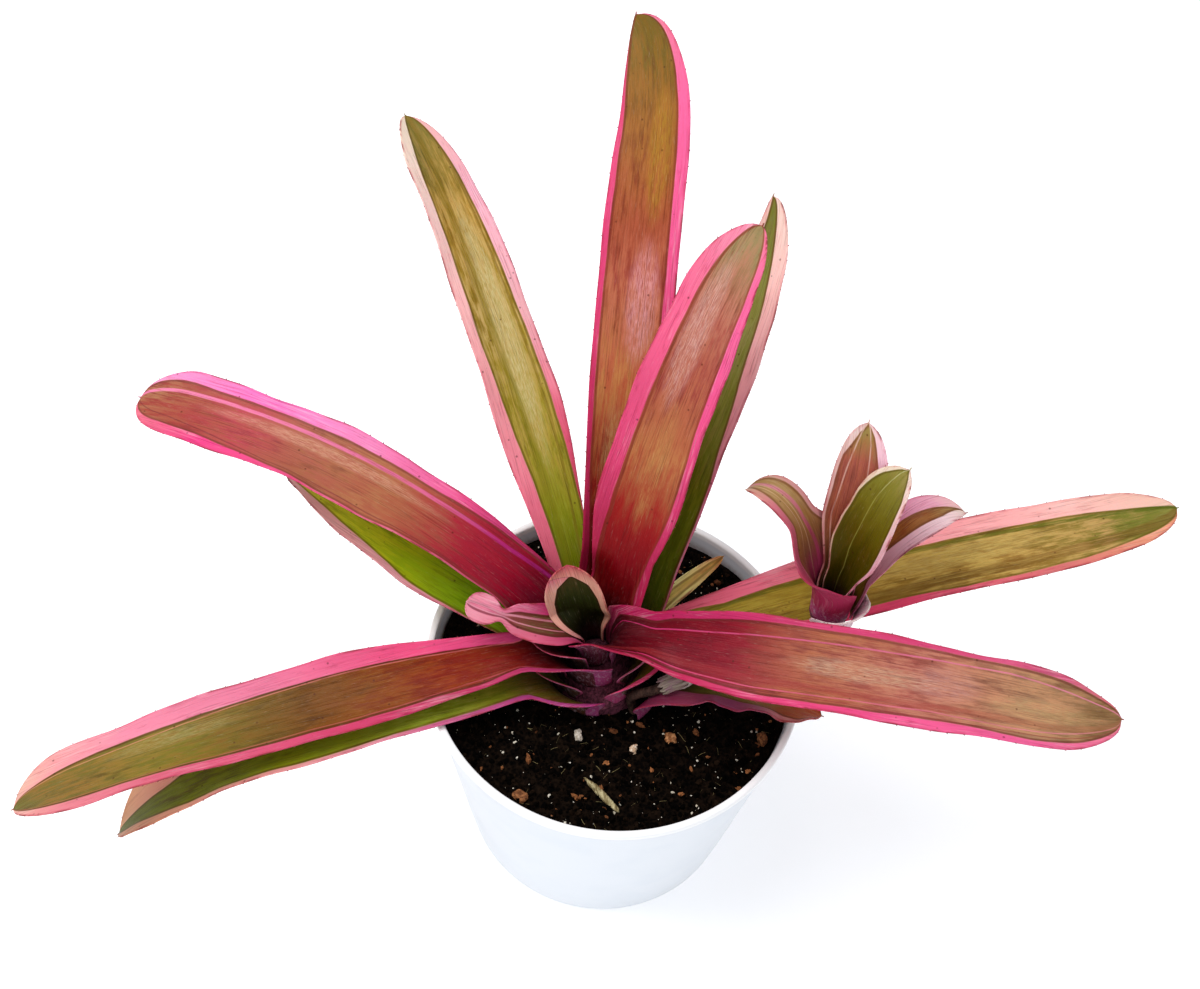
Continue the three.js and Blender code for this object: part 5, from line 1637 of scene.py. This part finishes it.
@dataclass
class Spines:
    """The fine spines along every margin."""

    lines: list

    def build(self) -> Object:
        """Grows all the spines as one piece."""
        edges, first = [], 0
        for line, _ in self.lines:
            edges += [(first + i, first + i + 1) for i in range(len(line) - 1)]
            first += len(line)
        mesh = bpy.data.meshes.new("margin_lines")
        mesh.from_pydata([tuple(p * MM) for line, _ in self.lines for p in line], edges, [])
        store(mesh, "outward", np.concatenate([out for _, out in self.lines]))
        finish = Speckled("#a8505c", "#6e2c30").material("spine")
        return dress(spine_tree(finish).grown(mesh, "margin_spines", finish), None, "stem_bark")


@dataclass
class Runner:
    """The offset's runner and the papery scales that clasp it.

    scales holds, for each one: its node, the shares of the runner where it starts and ends, the way that
    its middle faces and the half angle that it wraps, in degrees.
    """

    crown: Rosette
    radius: float = 1.9
    side: float = 17.99
    route: tuple[tuple[float, float, float], ...] = (
        (13.5, -14.6, 105.8), (19.5, -13, 110), (28, -9.6, 112.5), (38, -6.6, 115), (48, -4.5, 117),
        (58.5, -1.5, 120), (64.5, 2.5, 122.6), (66.7, 6, 124.1),
    )
    scales: tuple = (("runner_bract_low", 0.26, 0.44, 60, 90), ("runner_bract_high", 0.5, 0.68, 60, 95))
    span_steps: int = 24
    line_points: int = 160
    stand_off: float = 0.72
    thickness: float = 0.5

    def path(self) -> np.ndarray:
        """Close points of the runner's line, evenly spaced."""
        half = self.side * math.sqrt(0.5)
        feet = self.crown.place(np.array([[half, -half, -2.0], [half, -half, 7.0]]))
        knots = np.concatenate([feet, np.array(self.route)])
        ends = np.concatenate([[2 * knots[0] - knots[1]], knots, [2 * knots[-1] - knots[-2]]])
        found = []
        for i in range(1, len(ends) - 2):
            p = ends[i - 1 : i + 3]
            times = [0.0]
            for a, b in zip(p, p[1:]):
                times.append(times[-1] + max(float(np.linalg.norm(b - a)) ** 0.5, 1e-4))
            for s in np.linspace(times[1], times[2], self.span_steps, endpoint=i == len(ends) - 3):
                found.append(self.knot(p, times, s))
        line = np.array(found)
        run = np.concatenate([[0], np.cumsum(np.linalg.norm(np.diff(line, axis=0), axis=1))])
        return sampled(np.linspace(0, run[-1], self.line_points), run, line)

    @staticmethod
    def knot(p: np.ndarray, times: list[float], s: float) -> np.ndarray:
        """Point at time s of the smooth curve through four points."""

        def between(a: np.ndarray, b: np.ndarray, i: int, j: int) -> np.ndarray:
            """Point on the line from a, at time i of the list, to b, at time j."""
            return ((times[j] - s) * a + (s - times[i]) * b) / (times[j] - times[i])

        a, b, c = (between(p[k], p[k + 1], k, k + 1) for k in range(3))
        return between(between(a, b, 0, 2), between(b, c, 1, 3), 1, 2)

    def build(self) -> None:
        """Draws the runner and its scales."""
        line = self.path()
        mesh = bpy.data.meshes.new("runner_line")
        mesh.from_pydata([tuple(p * MM) for p in line], [(i, i + 1) for i in range(len(line) - 1)], [])
        bark = Speckled("#5a4238", "#33231e", 3.0).material("runner_bark")
        dress(tube_tree(bark).grown(mesh, "runner_tube", bark), None, "stem_bark", "runner")
        for k, (node, *facts) in enumerate(self.scales):
            plate = self.scale(line, *facts)
            piece = linked(node + "_scale", plate.mesh(node + "_scale"))
            dress(piece, PaperyScale(seed=70.0 + k).material(node), "papery_bract", node)

    def scale(self, line: np.ndarray, start: float, end: float, facing: float, reach: float) -> Plate:
        """Lays out a papery scale with torn ends, from the runner's points and the scale's own facts."""
        rows, cols = 40, 48
        f, q = np.linspace(0, 1, rows), np.linspace(-1, 1, cols)
        torn = 0.34 * np.abs(np.sin(5.6 * q + 0.9)) ** 2.2
        frayed = 0.12 * np.abs(np.sin(7.3 * q + 2.1)) ** 2
        spots = mix(start + (end - start) * frayed, end - (end - start) * torn, f[:, None]) * (len(line) - 1)
        steps = np.arange(len(line))
        c = sampled(spots, steps, line)
        t = unit(sampled(spots, steps, np.gradient(line, axis=0)))
        side = unit(np.cross(t, [0, 0, 1]))
        up = np.cross(side, t)
        r = self.radius + self.stand_off + 1.6 * f**2
        wrap = math.radians(reach) * np.sqrt(np.maximum(1 - f**2.2, 0.01))
        ragged = 1 + 0.07 * np.sin(9 * f + 1) * np.sin(23 * f)
        a = math.radians(facing) + (wrap * ragged)[:, None] * q
        out = side * np.cos(a)[..., None] + up * np.sin(a)[..., None]
        crease = 0.3 * np.sin(q * 13 + 2 * f[:, None]) * f[:, None] + 0.12 * np.sin(q * 29) * (1 - f[:, None])
        grid = c + out * (r[:, None] + crease)[..., None]
        thickness = self.thickness * np.ones((rows, cols)) * np.where(np.abs(q) > 0.98, 0.4, 1)
        return Plate.ruled(grid, thickness, f, f * (end - start) * 90, q, r * wrap)


@dataclass
class Studio:
    """Pale floor, soft lights and the camera at the photograph's angle."""

    focal_px: float = 1500.0
    photo_px: float = 1200.0
    film: float = 36.0
    pitch: float = 53.6
    distance: float = 430.0
    aim: tuple[float, float, float] = (-9.7, 0.0, 190.6)
    roll: float = 5.0
    floor_half: float = 3.0
    sky: tuple[float, float, float, float] = (0.93, 0.96, 1.0, 1.0)
    lamps: tuple = (("key", (-0.5, 0.1, 1.15), 0.8, 8.4), ("fill", (0.5, -0.9, 0.9), 0.8, 1.0))

    def build(self) -> None:
        """Sets the stage."""
        scene = bpy.context.scene
        scene.camera = self.camera()
        self.floor()
        for lamp in self.lamps:
            self.lamp(*lamp)
        scene.world = bpy.data.worlds.new("studio")
        scene.world.use_nodes = True
        background = scene.world.node_tree.nodes["Background"].inputs
        background["Color"].default_value = self.sky
        background["Strength"].default_value = 0.5
        scene.view_settings.view_transform = "Standard"
        scene.view_settings.look = "Medium High Contrast"

    def camera(self) -> Object:
        """The camera, which looks down along +Y with a small roll."""
        down, roll = math.radians(self.pitch), math.radians(self.roll)
        forward = Vector((0, math.cos(down), -math.sin(down)))
        right = Vector((1, 0, 0))
        up = right.cross(forward)
        across = right * math.cos(roll) + up * math.sin(roll)
        upward = up * math.cos(roll) - right * math.sin(roll)
        camera = bpy.data.cameras.new("camera")
        camera.sensor_width = self.film
        camera.lens = self.film * self.focal_px / self.photo_px
        camera.clip_start = 0.01
        eye = linked("camera", camera)
        turn = Matrix((across, upward, -forward)).transposed().to_4x4()
        eye.matrix_world = Matrix.Translation((Vector(self.aim) - forward * self.distance) * MM) @ turn
        return eye

    def floor(self) -> Object:
        """The pale floor, which glows a little as the photograph's paper does."""
        half = self.floor_half
        mesh = bpy.data.meshes.new("floor")
        corners = [(-half, -half, 0), (half, -half, 0), (half, half, 0), (-half, half, 0)]
        mesh.from_pydata(corners, [], [range(4)])
        glow = {"Emission_Color": linear("#ffffff"), "Emission_Strength": 0.27}
        mesh.materials.append(Desk("pale_floor").finish("#f8f9fb", 0.7, None, Specular_IOR_Level=0.2, **glow))
        return linked("floor", mesh)

    @staticmethod
    def lamp(name: str, at: tuple[float, float, float], size: float, power: float) -> None:
        """Hangs a square soft light that faces the plant."""
        light = bpy.data.lights.new(name, "AREA")
        light.size, light.energy = size, power
        lamp = linked(name, light)
        lamp.location = at
        lamp.rotation_euler = (Vector(at) - Vector((0, 0, 0.1))).to_track_quat("Z", "Y").to_euler()


def main() -> None:
    """Builds every sub-assembly in order."""
    logging.basicConfig(level=logging.INFO, format="%(name)s %(message)s")
    Studio().build()
    crown = Rosette(
        (-5, -2, 91), 17.5, 1.18, 1.1, 1.3, 12, 1.1, lean=8, toward=165,
        low=((-90, 45), (-17, 8), (15, 8), (52, 36), (110, 38), (159, 20), (202, 1)),
        high=((-90, 60), (-18, 14), (15, 38), (61, 67), (76, 59), (110, 52), (155, 38), (197, 4)),
    )
    offset = Rosette(
        (66.7, 6, 129.5), 7.2, 1.15, 1, 1.2, 9, 1.2,
        low=((-90, 97), (-25, 84), (60, 65), (150, 65), (205, 78)), high=((-90, 90),),
    )
    slots = {s["node"]: s["material_slot"] for s in frame["record"]["subparts"]}
    finish, soil = PottingSoil(), Soil()
    Pot().build()
    soil.build(finish)
    soil.dress(finish)
    Chips().build()
    foliage, young = Foliage(crown, CROWN_LEAVES, slots), Foliage(offset, OFFSET_LEAVES, slots)
    foliage.build()
    young.build()
    Spines(foliage.edges + young.edges).build()
    Runner(crown).build()
    stem = Speckled("#83485a", "#4c2430", 2.0).material("stem_bark")
    for node in ("crown_stem", "offset_stem"):
        for spot in frame["nodes"][node].material_slots:
            spot.material = stem


if __name__ == "__main__":
    main()
